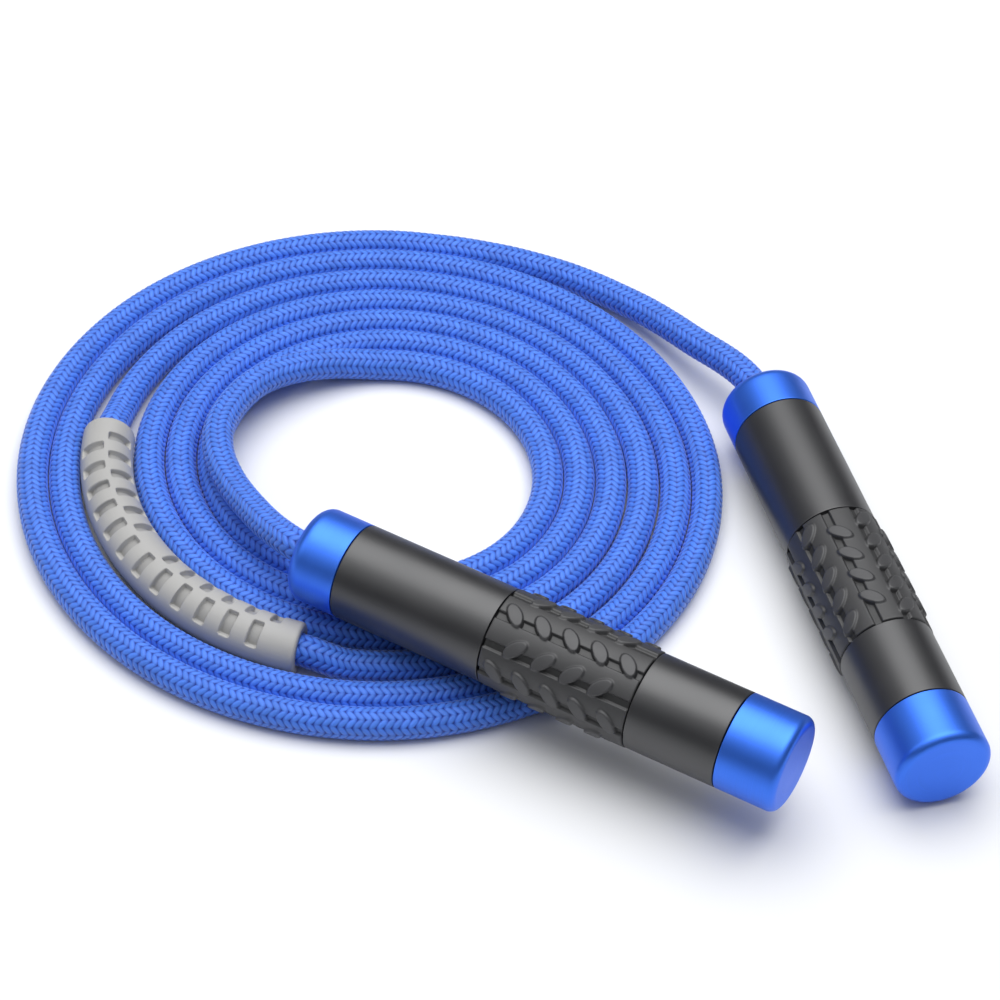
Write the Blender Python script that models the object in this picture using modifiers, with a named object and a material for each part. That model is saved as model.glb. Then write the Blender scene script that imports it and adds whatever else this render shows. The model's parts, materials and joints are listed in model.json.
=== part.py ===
"""Jump rope: two ball-bearing handles on a thick braided rope, lying coiled on a floor.

Metres, +Z up, floor at z = 0. Each handle is modelled on its own axis, which runs from the rope's
exit (z = 0) to the butt, and is laid down by the empty that its pieces are parented to. The rope,
its coil and both spindles are one body, and each handle spins round its spindle on a ball bearing.
"""

import math

import bmesh
import bpy
from mathutils import Matrix, Vector

# Clearances
GAP = 0.0003                  # least gap between two pieces
ROPE_CLEARANCE = 0.0005       # round the rope, in every bore that it runs through
SLIDE_CLEARANCE = 0.0006      # round the weight and the dampers in the tube
CUTTER_REACH = 0.0100         # how far a cutter runs past what it cuts

# Rope and its coil: turns are counted inwards from the coil's outer end, counter-clockwise
ROPE_RADIUS = 0.0046
COIL_CENTRE = (-0.07795, 0.04865)
COIL_START = 90.0             # degrees
COIL_TURNS = 6
COIL_RADIUS = 0.10395         # centreline at the outer end
COIL_LEAN = (0.00197, 0.00119)
TURN_PITCH = 2 * ROPE_RADIUS + GAP
COIL_END_GAP = 0.0006         # to the rope's ends, which leave the coil a little askew
COIL_STEPS = 72
COIL_SIDE_STEPS = 4

# Wear sleeve, on the third turn, which pushes its neighbours aside
SLEEVE_TURNS = (2.242, 2.468)
SLEEVE_WALL = 0.0027
SLEEVE_BORE = ROPE_RADIUS + ROPE_CLEARANCE
SLEEVE_RADIUS = SLEEVE_BORE + SLEEVE_WALL
SLEEVE_STEPS = 12
SPREAD = 0.0037
SPREAD_ANGLE = 223.1          # degrees
SPREAD_WIDTH = 79.2           # degrees
RISE_TURNS = 0.029            # the rope climbs into the sleeve over this part of a turn
POCKET_CLEARANCE = 0.0008
SLOT_ANGLE = 36.0             # degrees from the sleeve's top, to each side
SLOT_COUNT = 13               # places along the inner row; the outer row lies between them
SLOT_WIDTH = 0.0022
SLOT_LENGTH = 0.0056
SLOT_DEPTH = 0.0009
PLAIN_PLACE = 6               # the inner row's place that has no slot

# Stations along a handle, from the front face
FRONT_CAP_LENGTH = 0.0152
FRONT_BARREL_LENGTH = 0.0475
GRIP_LENGTH = 0.0450
REAR_BARREL_LENGTH = 0.0276
END_CAP_LENGTH = 0.0178
GRIP_START = FRONT_CAP_LENGTH + FRONT_BARREL_LENGTH
GRIP_END = GRIP_START + GRIP_LENGTH
END_CAP_START = GRIP_END + REAR_BARREL_LENGTH
HANDLE_LENGTH = END_CAP_START + END_CAP_LENGTH

# Spindle, bearing and stopper
SPINDLE_WALL = 0.0011
SPINDLE_BORE = ROPE_RADIUS + ROPE_CLEARANCE
SPINDLE_RADIUS = SPINDLE_BORE + SPINDLE_WALL
FLANGE_THICKNESS = 0.0015
COLLAR_THICKNESS = 0.0010
COLLAR_WALL = 0.0010
NOSE_LENGTH = 0.0002          # how far the spindle shows past the collar
RACE_WIDTH = 0.0050
RACE_WALL = 0.0012
RACE_SPACE = 0.0024           # between the inner and the outer race
BALL_RADIUS = 0.0013
BALL_COUNT = 7
CAGE_WALL = 0.0012
CAGE_WIDTH = 0.0046
INNER_RACE_BORE = SPINDLE_RADIUS + GAP
INNER_RACE_RADIUS = INNER_RACE_BORE + RACE_WALL
PITCH_RADIUS = INNER_RACE_RADIUS + RACE_SPACE / 2
OUTER_RACE_BORE = INNER_RACE_RADIUS + RACE_SPACE
OUTER_RACE_RADIUS = OUTER_RACE_BORE + RACE_WALL
FLANGE_RADIUS = INNER_RACE_RADIUS - GAP
STOPPER_WALL = 0.0029
STOPPER_LENGTH = 0.0080
STOPPER_RADIUS = SPINDLE_BORE + STOPPER_WALL
SCREW_RADIUS = 0.0015
SCREW_SOCKET_RADIUS = 0.0008
SCREW_SOCKET_DEPTH = 0.0011
ROPE_TAG = 0.0020             # rope left standing past the stopper

# Front cap, tube, grip and end cap
FRONT_ROUNDING = 0.0040
FRONT_WALL = 0.0032
CAP_POCKET = OUTER_RACE_RADIUS + GAP
RING_THICKNESS = 0.0010
RING_BITE = 0.0006            # depth of the retaining ring's groove
RING_SPLIT = 0.0050
SPIGOT_WALL = 0.0011
SPIGOT_LENGTH = 0.0098
SPIGOT_RADIUS = CAP_POCKET + SPIGOT_WALL
TUBE_MOUTH = SPIGOT_RADIUS + GAP
MOUTH_WALL = 0.0010
HANDLE_RADIUS = TUBE_MOUTH + MOUTH_WALL
WAIST_DEPTH = 0.0018
WAIST_WALL = 0.0013
SHOULDER_LENGTH = 0.0187
SHOULDER_HEIGHT = 0.0014
WAIST_RADIUS = HANDLE_RADIUS - WAIST_DEPTH
TUBE_BORE = WAIST_RADIUS - WAIST_WALL
GRIP_BORE = WAIST_RADIUS + GAP
STRIP_PROUD = 0.0002          # the grip's smooth strips, over the barrel
LEAF_PROUD = 0.0012           # its leaf pads, over the barrel
GROOVE_DEPTH = 0.0009
GROOVE_WIDTH = 0.0024
GROOVE_SHIFT = 6.0            # degrees from a row of pads to its groove
LEAF_ROWS = 10
LEAF_COUNTS = (5, 4)          # pads in alternate rows
LEAF_SPACING = 0.00875
LEAF_LENGTH = 0.0084
LEAF_WIDTH = 0.0040
LEAF_TILT = 45.0              # degrees from the handle's circumference
LEAF_ROOT = 0.0003            # how deep a pad is sunk under its groove's floor
GRIP_RADIUS = HANDLE_RADIUS + STRIP_PROUD
LEAF_RADIUS = HANDLE_RADIUS + LEAF_PROUD
END_ROUNDING = 0.0025
END_WALL = 0.0031
END_SPIGOT_LENGTH = 0.0133
END_SPIGOT_WALL = 0.0036
END_SPIGOT_RADIUS = TUBE_BORE - GAP
CORD_RADIUS = 0.00085         # section of the end cap's O-ring
O_RING_FROM_SHOULDER = 0.0042
DAMPER_LENGTH = 0.0030
DAMPER_RADIUS = TUBE_BORE - SLIDE_CLEARANCE
WEIGHT_CHAMFER = 0.0010

# Faces round a turned piece, outside and inside the handle
OUTER_STEPS = 30
INNER_STEPS = 20
BALL_STEPS = (8, 6)

# Where the handles lie, from the coil's centre: exit point, heading and the turn of the grip
HANDLES = {
    "a": ((-0.0157, -0.0547), -26.24, 48.3),
    "b": ((0.1146, 0.0332), -71.2, 12.0),
}
AXIS_HEIGHTS = {"a": 2 * ROPE_RADIUS + GAP + LEAF_RADIUS, "b": LEAF_RADIUS}

# The rope's two free stretches, from the coil's centre, from the coil to a handle
TAIL_SPACING = 0.0130
COIL_LEAD = 0.0025            # the rope goes on straight this far past the coil's ends
TAIL_LEAD = 0.0040            # the rope is straight this far ahead of a handle
TAIL_ROUTES = {
    "a": (
        (-0.0090, 0.0463, 0.0056), (-0.0175, 0.0433, 0.0076), (-0.0267, 0.0382, 0.0099),
        (-0.0350, 0.0315, 0.0118), (-0.0410, 0.0237, 0.0130), (-0.0455, 0.0139, 0.0138),
        (-0.0478, 0.0033, 0.0143), (-0.0465, -0.0078, 0.0146), (-0.0426, -0.0179, 0.0152),
        (-0.0382, -0.0261, 0.0165), (-0.0339, -0.0333, 0.0183), (-0.0297, -0.0400, 0.0203),
        (-0.0254, -0.0460, 0.0223),
    ),
    "b": (
        (0.0170, 0.1046, 0.0046), (0.0261, 0.1034, 0.0046), (0.0352, 0.1017, 0.0046),
        (0.0442, 0.0992, 0.0046), (0.0531, 0.0960, 0.0047), (0.0618, 0.0914, 0.0052),
        (0.0703, 0.0852, 0.0064), (0.0787, 0.0782, 0.0079), (0.0866, 0.0700, 0.0097),
        (0.0942, 0.0609, 0.0118), (0.1025, 0.0525, 0.0134), (0.1083, 0.0453, 0.0146),
    ),
}

# Finishes: colour, roughness, metallic
FINISHES = {
    "rope_fibre": ((0.018, 0.095, 0.560), 0.75, 0.0),
    "sleeve_plastic": ((0.560, 0.540, 0.510), 0.60, 0.0),
    "blue_anodised": ((0.040, 0.140, 0.720), 0.32, 0.9),
    "black_coat": ((0.028, 0.028, 0.030), 0.38, 0.2),
    "grip_rubber": ((0.050, 0.050, 0.053), 0.70, 0.0),
    "polished_steel": ((0.780, 0.780, 0.800), 0.12, 1.0),
    "plain_steel": ((0.420, 0.430, 0.450), 0.35, 1.0),
    "cage_plastic": ((0.700, 0.660, 0.560), 0.45, 0.0),
    "damper_foam": ((0.060, 0.060, 0.060), 0.90, 0.0),
}


# ---------------------------------------------------------------- scene and modelling helpers


def clear_scene():
    for piece in list(bpy.data.objects):
        bpy.data.objects.remove(piece)


def new_collection(name):
    made = bpy.data.collections.new(name)
    bpy.context.scene.collection.children.link(made)
    return made


def add_part(piece, finish, parent=None):
    """Puts a finished piece in the part's collection, with a material of its own."""
    colour, roughness, metallic = FINISHES[finish]
    made = bpy.data.materials.new(piece.name)
    made.use_nodes = True
    shader = made.node_tree.nodes["Principled BSDF"]
    shader.inputs["Base Color"].default_value = (*colour, 1.0)
    shader.inputs["Roughness"].default_value = roughness
    shader.inputs["Metallic"].default_value = metallic
    piece.data.materials.append(made)
    piece.parent = parent
    bpy.data.collections["jump_rope"].objects.link(piece)
    return piece


def add_cutter(piece, parent=None):
    piece.parent = parent
    piece.hide_render = True
    piece.display_type = "WIRE"
    bpy.data.collections["cutters"].objects.link(piece)
    return piece


def combine(piece, other, operation="DIFFERENCE"):
    boolean = piece.modifiers.new(other.name, "BOOLEAN")
    boolean.operation = operation
    boolean.solver = "EXACT"
    boolean.object = other


def mesh_object(name, shape):
    """An object from a bmesh, which it frees."""
    mesh = bpy.data.meshes.new(name)
    shape.to_mesh(mesh)
    shape.free()
    mesh.shade_smooth()
    mesh.set_sharp_from_angle(angle=math.radians(30))
    return bpy.data.objects.new(name, mesh)


def turned(name, profile, steps, closed=True):
    """A profile of (radius, height) points turned round Z: down its outer side, up its inner."""
    edges = [(i, i + 1) for i in range(len(profile) - 1)]
    if closed:
        edges.append((len(profile) - 1, 0))
    mesh = bpy.data.meshes.new(name)
    mesh.from_pydata([(radius, 0.0, height) for radius, height in profile], edges, [])
    piece = bpy.data.objects.new(name, mesh)
    screw = piece.modifiers.new("Turn", "SCREW")
    screw.steps = steps
    screw.render_steps = steps
    screw.use_merge_vertices = True
    screw.merge_threshold = 0.00001
    screw.use_smooth_shade = True
    return piece


def arc(radius, centre, first, last, steps):
    """Points of a profile's arc, between two angles in degrees from the +radius direction."""
    points = []
    for step in range(steps + 1):
        angle = math.radians(first + (last - first) * step / steps)
        points.append((centre[0] + radius * math.cos(angle), centre[1] + radius * math.sin(angle)))
    return points


def tube_curve(name, points, radius, resolution, capped=True):
    curve = bpy.data.curves.new(name, "CURVE")
    curve.dimensions = "3D"
    curve.bevel_depth = radius
    curve.bevel_resolution = resolution
    curve.use_fill_caps = capped
    spline = curve.splines.new("POLY")
    spline.points.add(len(points) - 1)
    for slot, point in zip(spline.points, points):
        slot.co = (*point, 1.0)
    return bpy.data.objects.new(name, curve)


def lofted(name, sections):
    """A closed body through loops of equally many points, with a cap on each end."""
    shape = bmesh.new()
    rings = [[shape.verts.new(point) for point in section] for section in sections]
    for near, far in zip(rings, rings[1:]):
        for i in range(len(near)):
            j = (i + 1) % len(near)
            shape.faces.new((near[i], near[j], far[j], far[i]))
    shape.faces.new(rings[0])
    shape.faces.new(rings[-1])
    bmesh.ops.recalc_face_normals(shape, faces=shape.faces)
    return mesh_object(name, shape)


def catmull_rom(before, start, end, after, t):
    """A point on the smooth curve from start to end, given the route's points on either side."""
    return 0.5 * (
        2 * start
        + (end - before) * t
        + (2 * before - 5 * start + 4 * end - after) * t**2
        + (3 * start - before - 3 * end + after) * t**3
    )


def smooth_route(route, spacing, fine=16):
    """Points about this far apart along the smooth curve from route[1] to route[-2]."""
    dense = [route[1]]
    for i in range(1, len(route) - 2):
        for step in range(1, fine + 1):
            dense.append(catmull_rom(*route[i - 1:i + 3], step / fine))
    lengths = [0.0]
    for near, far in zip(dense, dense[1:]):
        lengths.append(lengths[-1] + (far - near).length)
    count = max(2, round(lengths[-1] / spacing))
    points = []
    at = 0
    for step in range(count + 1):
        wanted = lengths[-1] * step / count
        while at < len(dense) - 2 and lengths[at + 1] < wanted:
            at += 1
        share = (wanted - lengths[at]) / (lengths[at + 1] - lengths[at])
        points.append(dense[at].lerp(dense[at + 1], min(share, 1.0)))
    return points


# ---------------------------------------------------------------- the coil and what is on it


def coil_angle(turn):
    return math.radians(COIL_START + 360.0 * turn)


def coil_radius(turn):
    """Radius of the rope's centreline after so many turns from the coil's outer end."""
    angle = coil_angle(turn)
    lean = COIL_LEAN[0] * math.cos(angle) + COIL_LEAN[1] * math.sin(angle)
    away = (math.degrees(angle) - SPREAD_ANGLE + 180.0) % 360.0 - 180.0
    spread_turn = math.floor(SLEEVE_TURNS[0]) + (SPREAD_ANGLE - COIL_START) / 360.0
    side = max(-1, min(1, round(spread_turn - turn)))
    spread = side * SPREAD * math.exp(-((away / SPREAD_WIDTH) ** 2))
    return COIL_RADIUS + lean - TURN_PITCH * turn + spread


def coil_place(turn, radius, height):
    angle = coil_angle(turn)
    x = COIL_CENTRE[0] + radius * math.cos(angle)
    y = COIL_CENTRE[1] + radius * math.sin(angle)
    return Vector((x, y, height))


def sleeve_height(turn):
    """Height of the rope's centreline where the sleeve holds it off the floor."""
    outside = max(SLEEVE_TURNS[0] - turn, turn - SLEEVE_TURNS[1], 0.0) / RISE_TURNS
    outside = min(outside, 1.0)
    fallen = outside * outside * (3 - 2 * outside)
    return SLEEVE_RADIUS + (ROPE_RADIUS - SLEEVE_RADIUS) * fallen


def coil_section(turn):
    """The coil's outline across all its turns: flat above and below, round at both sides."""
    loop = []
    inner_turn = COIL_TURNS - 1 + turn
    for centre, first in ((coil_radius(turn), -90.0), (coil_radius(inner_turn), 90.0)):
        for radius, height in arc(
            ROPE_RADIUS, (centre, ROPE_RADIUS), first, first + 180.0, COIL_SIDE_STEPS
        ):
            loop.append(coil_place(turn, radius, height))
    return loop


def pocket_section(turn):
    half = SLEEVE_RADIUS + POCKET_CLEARANCE
    middle = coil_radius(turn)
    low = -CUTTER_REACH
    high = 2 * SLEEVE_RADIUS + CUTTER_REACH
    corners = ((-half, low), (half, low), (half, high), (-half, high))
    return [coil_place(turn, middle + across, height) for across, height in corners]


def turns_between(first, last, count):
    return [first + (last - first) * step / count for step in range(count + 1)]


def build_coil():
    """One solid in the outer shape of all the turns, slit where the rope's two ends leave it."""
    end_gap = COIL_END_GAP / (2 * math.pi * (coil_radius(COIL_TURNS) - ROPE_RADIUS))
    turns = turns_between(end_gap, 1 - end_gap, COIL_STEPS)
    coil = lofted("rope_coil", [coil_section(turn) for turn in turns])
    first = SLEEVE_TURNS[0] - RISE_TURNS - end_gap
    last = SLEEVE_TURNS[1] + RISE_TURNS + end_gap
    sections = [pocket_section(turn) for turn in turns_between(first, last, SLEEVE_STEPS)]
    combine(coil, add_cutter(lofted("sleeve_pocket", sections)))
    add_part(coil, "rope_fibre")


def sleeve_turns():
    return turns_between(*SLEEVE_TURNS, SLEEVE_STEPS)


def build_rope_under_sleeve():
    """The rope from one end of the sleeve's pocket to the other, through the sleeve."""
    near = turns_between(SLEEVE_TURNS[0] - RISE_TURNS, SLEEVE_TURNS[0], 2)
    far = turns_between(SLEEVE_TURNS[1], SLEEVE_TURNS[1] + RISE_TURNS, 2)
    turns = near[:-1] + sleeve_turns() + far[1:]
    points = [coil_place(turn, coil_radius(turn), sleeve_height(turn)) for turn in turns]
    add_part(tube_curve("rope_under_sleeve", points, ROPE_RADIUS, 3), "rope_fibre")


def slot_places():
    """The side of the sleeve's top and the turn of every slot: -1 is the coil's inner side."""
    pitch = (SLEEVE_TURNS[1] - SLEEVE_TURNS[0]) / (SLOT_COUNT + 1)
    inner = [index + 1.0 for index in range(SLOT_COUNT) if index != PLAIN_PLACE]
    outer = [index + 1.5 for index in range(SLOT_COUNT - 1)]
    places = [(-1, step) for step in inner] + [(1, step) for step in outer]
    return [(side, SLEEVE_TURNS[0] + pitch * step) for side, step in places]


def build_slots():
    """Box cutters for both rows of slots along the top of the sleeve."""
    shape = bmesh.new()
    size = Matrix.Diagonal((SLOT_LENGTH, SLOT_WIDTH, 2 * SLOT_DEPTH, 1.0))
    for side, turn in slot_places():
        tilt = Matrix.Rotation(math.radians(side * SLOT_ANGLE), 4, "Y")
        lift = Matrix.Translation((0.0, 0.0, SLEEVE_RADIUS))
        turned_to = Matrix.Rotation(coil_angle(turn), 4, "Z")
        place = Matrix.Translation(coil_place(turn, coil_radius(turn), SLEEVE_RADIUS))
        bmesh.ops.create_cube(shape, size=1.0, matrix=place @ turned_to @ tilt @ lift @ size)
    return add_cutter(mesh_object("sleeve_slots", shape))


def build_sleeve():
    """The slotted sleeve: an open tube along the rope's third turn, thickened inwards."""
    points = [coil_place(turn, coil_radius(turn), SLEEVE_RADIUS) for turn in sleeve_turns()]
    guide = tube_curve("sleeve_guide", points, SLEEVE_RADIUS, 4, capped=False)
    bpy.context.scene.collection.objects.link(guide)
    seen = guide.evaluated_get(bpy.context.evaluated_depsgraph_get())
    mesh = bpy.data.meshes.new_from_object(seen)
    bpy.data.objects.remove(guide)
    sleeve = bpy.data.objects.new("wear_sleeve", mesh)
    wall = sleeve.modifiers.new("Wall", "SOLIDIFY")
    wall.thickness = SLEEVE_WALL
    wall.offset = -1.0
    wall.use_even_offset = True
    combine(sleeve, build_slots())
    add_part(sleeve, "sleeve_plastic")


# ---------------------------------------------------------------- the free stretches of rope


def handle_frame(label):
    """The exit point of a handle and its direction, from the exit to the butt."""
    (x, y), heading, _ = HANDLES[label]
    exit_point = Vector((COIL_CENTRE[0] + x, COIL_CENTRE[1] + y, AXIS_HEIGHTS[label]))
    angle = math.radians(heading)
    return exit_point, Vector((math.cos(angle), math.sin(angle), 0.0))


def build_tail(label, coil_turn, onward):
    """The rope from one end of the coil, along its route, to just past its stopper."""
    radius = coil_radius(coil_turn)
    lead_turn = coil_turn + onward * COIL_LEAD / (2 * math.pi * radius)
    start = coil_place(coil_turn, radius, ROPE_RADIUS)
    lead = coil_place(lead_turn, coil_radius(lead_turn), ROPE_RADIUS)
    centre = Vector((*COIL_CENTRE, 0.0))
    exit_point, direction = handle_frame(label)
    route = [start, lead] + [centre + Vector(point) for point in TAIL_ROUTES[label]]
    route += [exit_point - TAIL_LEAD * direction, exit_point]
    points = [start] + smooth_route(route, TAIL_SPACING)
    points.append(exit_point + ROPE_END * direction)
    add_part(tube_curve(f"rope_tail_{label}", points, ROPE_RADIUS, 3), "rope_fibre")


# ---------------------------------------------------------------- a handle's pieces, on its axis

BEARING_START = FRONT_WALL + GAP
BEARING_END = BEARING_START + RACE_WIDTH
BEARING_MIDDLE = (BEARING_START + BEARING_END) / 2
RING_START = BEARING_END + GAP
FLANGE_END = BEARING_END + GAP + FLANGE_THICKNESS
STOPPER_START = FLANGE_END + GAP
STOPPER_END = STOPPER_START + STOPPER_LENGTH
STOPPER_MIDDLE = (STOPPER_START + STOPPER_END) / 2
ROPE_END = STOPPER_END + ROPE_TAG
CAP_SPIGOT_END = FRONT_CAP_LENGTH + SPIGOT_LENGTH
SHOULDER_START = CAP_SPIGOT_END + GAP
SHOULDER_END = SHOULDER_START + SHOULDER_LENGTH
END_SPIGOT_START = END_CAP_START - END_SPIGOT_LENGTH


def front_cap(name):
    groove = CAP_POCKET + RING_BITE
    corner = (HANDLE_RADIUS - FRONT_ROUNDING, FRONT_ROUNDING)
    profile = [
        (SPIGOT_RADIUS, CAP_SPIGOT_END),
        (SPIGOT_RADIUS, FRONT_CAP_LENGTH),
        (HANDLE_RADIUS, FRONT_CAP_LENGTH),
        *arc(FRONT_ROUNDING, corner, 0.0, -90.0, 4),
        (INNER_RACE_BORE, 0.0),
        (INNER_RACE_BORE, FRONT_WALL),
        (CAP_POCKET, FRONT_WALL),
        (CAP_POCKET, RING_START - GAP),
        (groove, RING_START - GAP),
        (groove, RING_START + RING_THICKNESS + GAP),
        (CAP_POCKET, RING_START + RING_THICKNESS + GAP),
        (CAP_POCKET, CAP_SPIGOT_END),
    ]
    return turned(name, profile, OUTER_STEPS)


def handle_tube(name):
    """The aluminium barrel, with a waist for the grip and a shoulder for the weight."""
    front = FRONT_CAP_LENGTH + GAP
    rear = END_CAP_START - GAP
    profile = [
        (HANDLE_RADIUS, rear),
        (HANDLE_RADIUS, GRIP_END + GAP),
        (WAIST_RADIUS, GRIP_END + GAP),
        (WAIST_RADIUS, GRIP_START - GAP),
        (HANDLE_RADIUS, GRIP_START - GAP),
        (HANDLE_RADIUS, front),
        (TUBE_MOUTH, front),
        (TUBE_MOUTH, SHOULDER_START),
        (TUBE_BORE - SHOULDER_HEIGHT, SHOULDER_START),
        (TUBE_BORE - SHOULDER_HEIGHT, SHOULDER_END),
        (TUBE_BORE, SHOULDER_END),
        (TUBE_BORE, rear),
    ]
    return turned(name, profile, OUTER_STEPS)


def grip_row_angles(roll):
    """The angle round the handle of each row of pads, in degrees."""
    return [roll + 360.0 * row / LEAF_ROWS for row in range(LEAF_ROWS)]


def leaf_pads(name, roll):
    """All the grip's leaf pads, tilted one way and the other in alternate rows.

    A pad's flat top is set so low that its ends are at the pads' radius.
    """
    tilt = math.radians(LEAF_TILT)
    reach = math.hypot(LEAF_LENGTH / 2 * math.cos(tilt), LEAF_WIDTH / 2 * math.sin(tilt))
    top = math.sqrt(LEAF_RADIUS**2 - reach**2)
    bottom = GRIP_RADIUS - GROOVE_DEPTH - LEAF_ROOT
    size = Matrix.Diagonal((LEAF_LENGTH / 2, LEAF_WIDTH / 2, 1.0, 1.0))
    stand = Matrix.Rotation(math.radians(90.0), 4, "Y")
    shape = bmesh.new()
    for row, angle in enumerate(grip_row_angles(roll)):
        count = LEAF_COUNTS[row % 2]
        lean = LEAF_TILT if row % 2 else -LEAF_TILT
        for index in range(count):
            station = (GRIP_START + GRIP_END) / 2 + (index - (count - 1) / 2) * LEAF_SPACING
            matrix = (
                Matrix.Rotation(math.radians(angle), 4, "Z")
                @ Matrix.Translation(((top + bottom) / 2, 0.0, station))
                @ stand
                @ Matrix.Rotation(math.radians(90.0 + lean), 4, "Z")
                @ size
            )
            bmesh.ops.create_cone(
                shape, cap_ends=True, segments=8, radius1=1.0, radius2=1.0,
                depth=top - bottom, matrix=matrix,
            )
    return mesh_object(name, shape)


def groove_cutters(name, roll):
    """A straight groove along the whole grip beside each row of pads."""
    shape = bmesh.new()
    floor = GRIP_RADIUS - GROOVE_DEPTH
    length = GRIP_LENGTH + 2 * CUTTER_REACH
    size = Matrix.Diagonal((2 * GROOVE_DEPTH, GROOVE_WIDTH, length, 1.0))
    for angle in grip_row_angles(roll + GROOVE_SHIFT):
        place = Matrix.Translation((floor + GROOVE_DEPTH, 0.0, (GRIP_START + GRIP_END) / 2))
        matrix = Matrix.Rotation(math.radians(angle), 4, "Z") @ place @ size
        bmesh.ops.create_cube(shape, size=1.0, matrix=matrix)
    return mesh_object(name, shape)


def rubber_grip(name, axis, roll):
    profile = [
        (GRIP_RADIUS, GRIP_END),
        (GRIP_RADIUS, GRIP_START),
        (GRIP_BORE, GRIP_START),
        (GRIP_BORE, GRIP_END),
    ]
    grip = turned(name, profile, OUTER_STEPS)
    combine(grip, add_cutter(groove_cutters(f"{name}_grooves", roll), axis))
    combine(grip, add_cutter(leaf_pads(f"{name}_pads", roll), axis), "UNION")
    return grip


def o_ring_station():
    return END_CAP_START - O_RING_FROM_SHOULDER


def end_cap(name):
    """The screw-in cap at the butt: hollow, with a groove for its O-ring."""
    groove_half = CORD_RADIUS + GAP
    groove_floor = END_SPIGOT_RADIUS - 2 * CORD_RADIUS - GAP
    station = o_ring_station()
    hollow = END_SPIGOT_RADIUS - END_SPIGOT_WALL
    corner = (HANDLE_RADIUS - END_ROUNDING, HANDLE_LENGTH - END_ROUNDING)
    profile = [
        (0.0, HANDLE_LENGTH),
        *arc(END_ROUNDING, corner, 90.0, 0.0, 3),
        (HANDLE_RADIUS, END_CAP_START),
        (END_SPIGOT_RADIUS, END_CAP_START),
        (END_SPIGOT_RADIUS, station + groove_half),
        (groove_floor, station + groove_half),
        (groove_floor, station - groove_half),
        (END_SPIGOT_RADIUS, station - groove_half),
        (END_SPIGOT_RADIUS, END_SPIGOT_START),
        (hollow, END_SPIGOT_START),
        (hollow, HANDLE_LENGTH - END_WALL),
        (0.0, HANDLE_LENGTH - END_WALL),
    ]
    return turned(name, profile, OUTER_STEPS, closed=False)


def end_cap_o_ring(name):
    middle = (END_SPIGOT_RADIUS - CORD_RADIUS, o_ring_station())
    circle = arc(CORD_RADIUS, middle, 90.0, -270.0, 8)
    return turned(name, circle[:-1], INNER_STEPS)


def weight_bar(name):
    """A steel bar that fills the bore between the two dampers."""
    start = SHOULDER_END + DAMPER_LENGTH + 2 * GAP
    end = END_SPIGOT_START - DAMPER_LENGTH - 2 * GAP
    profile = [
        (0.0, end),
        (DAMPER_RADIUS - WEIGHT_CHAMFER, end),
        (DAMPER_RADIUS, end - WEIGHT_CHAMFER),
        (DAMPER_RADIUS, start + WEIGHT_CHAMFER),
        (DAMPER_RADIUS - WEIGHT_CHAMFER, start),
        (0.0, start),
    ]
    return turned(name, profile, INNER_STEPS, closed=False)


def damper(name, start):
    profile = [
        (0.0, start + DAMPER_LENGTH),
        (DAMPER_RADIUS, start + DAMPER_LENGTH),
        (DAMPER_RADIUS, start),
        (0.0, start),
    ]
    return turned(name, profile, INNER_STEPS, closed=False)


def race_groove_reach():
    """Half the angle of a race's groove, and half its width, where it meets the race's side."""
    radius = BALL_RADIUS + GAP
    angle = math.degrees(math.acos(RACE_SPACE / 2 / radius))
    return radius, angle


def outer_race(name):
    radius, reach = race_groove_reach()
    middle = (PITCH_RADIUS, BEARING_MIDDLE)
    profile = [
        (OUTER_RACE_RADIUS, BEARING_END),
        (OUTER_RACE_RADIUS, BEARING_START),
        (OUTER_RACE_BORE, BEARING_START),
        *arc(radius, middle, -reach, reach, 4),
        (OUTER_RACE_BORE, BEARING_END),
    ]
    return turned(name, profile, INNER_STEPS)


def inner_race(name):
    radius, reach = race_groove_reach()
    middle = (PITCH_RADIUS, BEARING_MIDDLE)
    profile = [
        (INNER_RACE_RADIUS, BEARING_END),
        *arc(radius, middle, 180.0 - reach, 180.0 + reach, 4),
        (INNER_RACE_RADIUS, BEARING_START),
        (INNER_RACE_BORE, BEARING_START),
        (INNER_RACE_BORE, BEARING_END),
    ]
    return turned(name, profile, INNER_STEPS)


def ball_angle(index):
    return 2 * math.pi * index / BALL_COUNT


def bearing_cage(name, axis):
    """A ring between the races, with a round pocket for each ball."""
    inner = PITCH_RADIUS - CAGE_WALL / 2
    outer = PITCH_RADIUS + CAGE_WALL / 2
    top = BEARING_MIDDLE + CAGE_WIDTH / 2
    bottom = BEARING_MIDDLE - CAGE_WIDTH / 2
    cage = turned(
        name, [(outer, top), (outer, bottom), (inner, bottom), (inner, top)], 4 * BALL_COUNT
    )
    shape = bmesh.new()
    radius = BALL_RADIUS + GAP
    for index in range(BALL_COUNT):
        matrix = (
            Matrix.Rotation(ball_angle(index), 4, "Z")
            @ Matrix.Translation((PITCH_RADIUS, 0.0, BEARING_MIDDLE))
            @ Matrix.Rotation(math.radians(90.0), 4, "Y")
        )
        bmesh.ops.create_cone(
            shape, cap_ends=True, segments=12, radius1=radius, radius2=radius,
            depth=4 * CAGE_WALL, matrix=matrix,
        )
    combine(cage, add_cutter(mesh_object(f"{name}_pockets", shape), axis))
    return cage


def ball(name, index):
    shape = bmesh.new()
    bmesh.ops.create_uvsphere(
        shape, u_segments=BALL_STEPS[0], v_segments=BALL_STEPS[1], radius=BALL_RADIUS
    )
    piece = mesh_object(name, shape)
    angle = ball_angle(index)
    x = PITCH_RADIUS * math.cos(angle)
    y = PITCH_RADIUS * math.sin(angle)
    piece.location = (x, y, BEARING_MIDDLE)
    return piece


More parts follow.
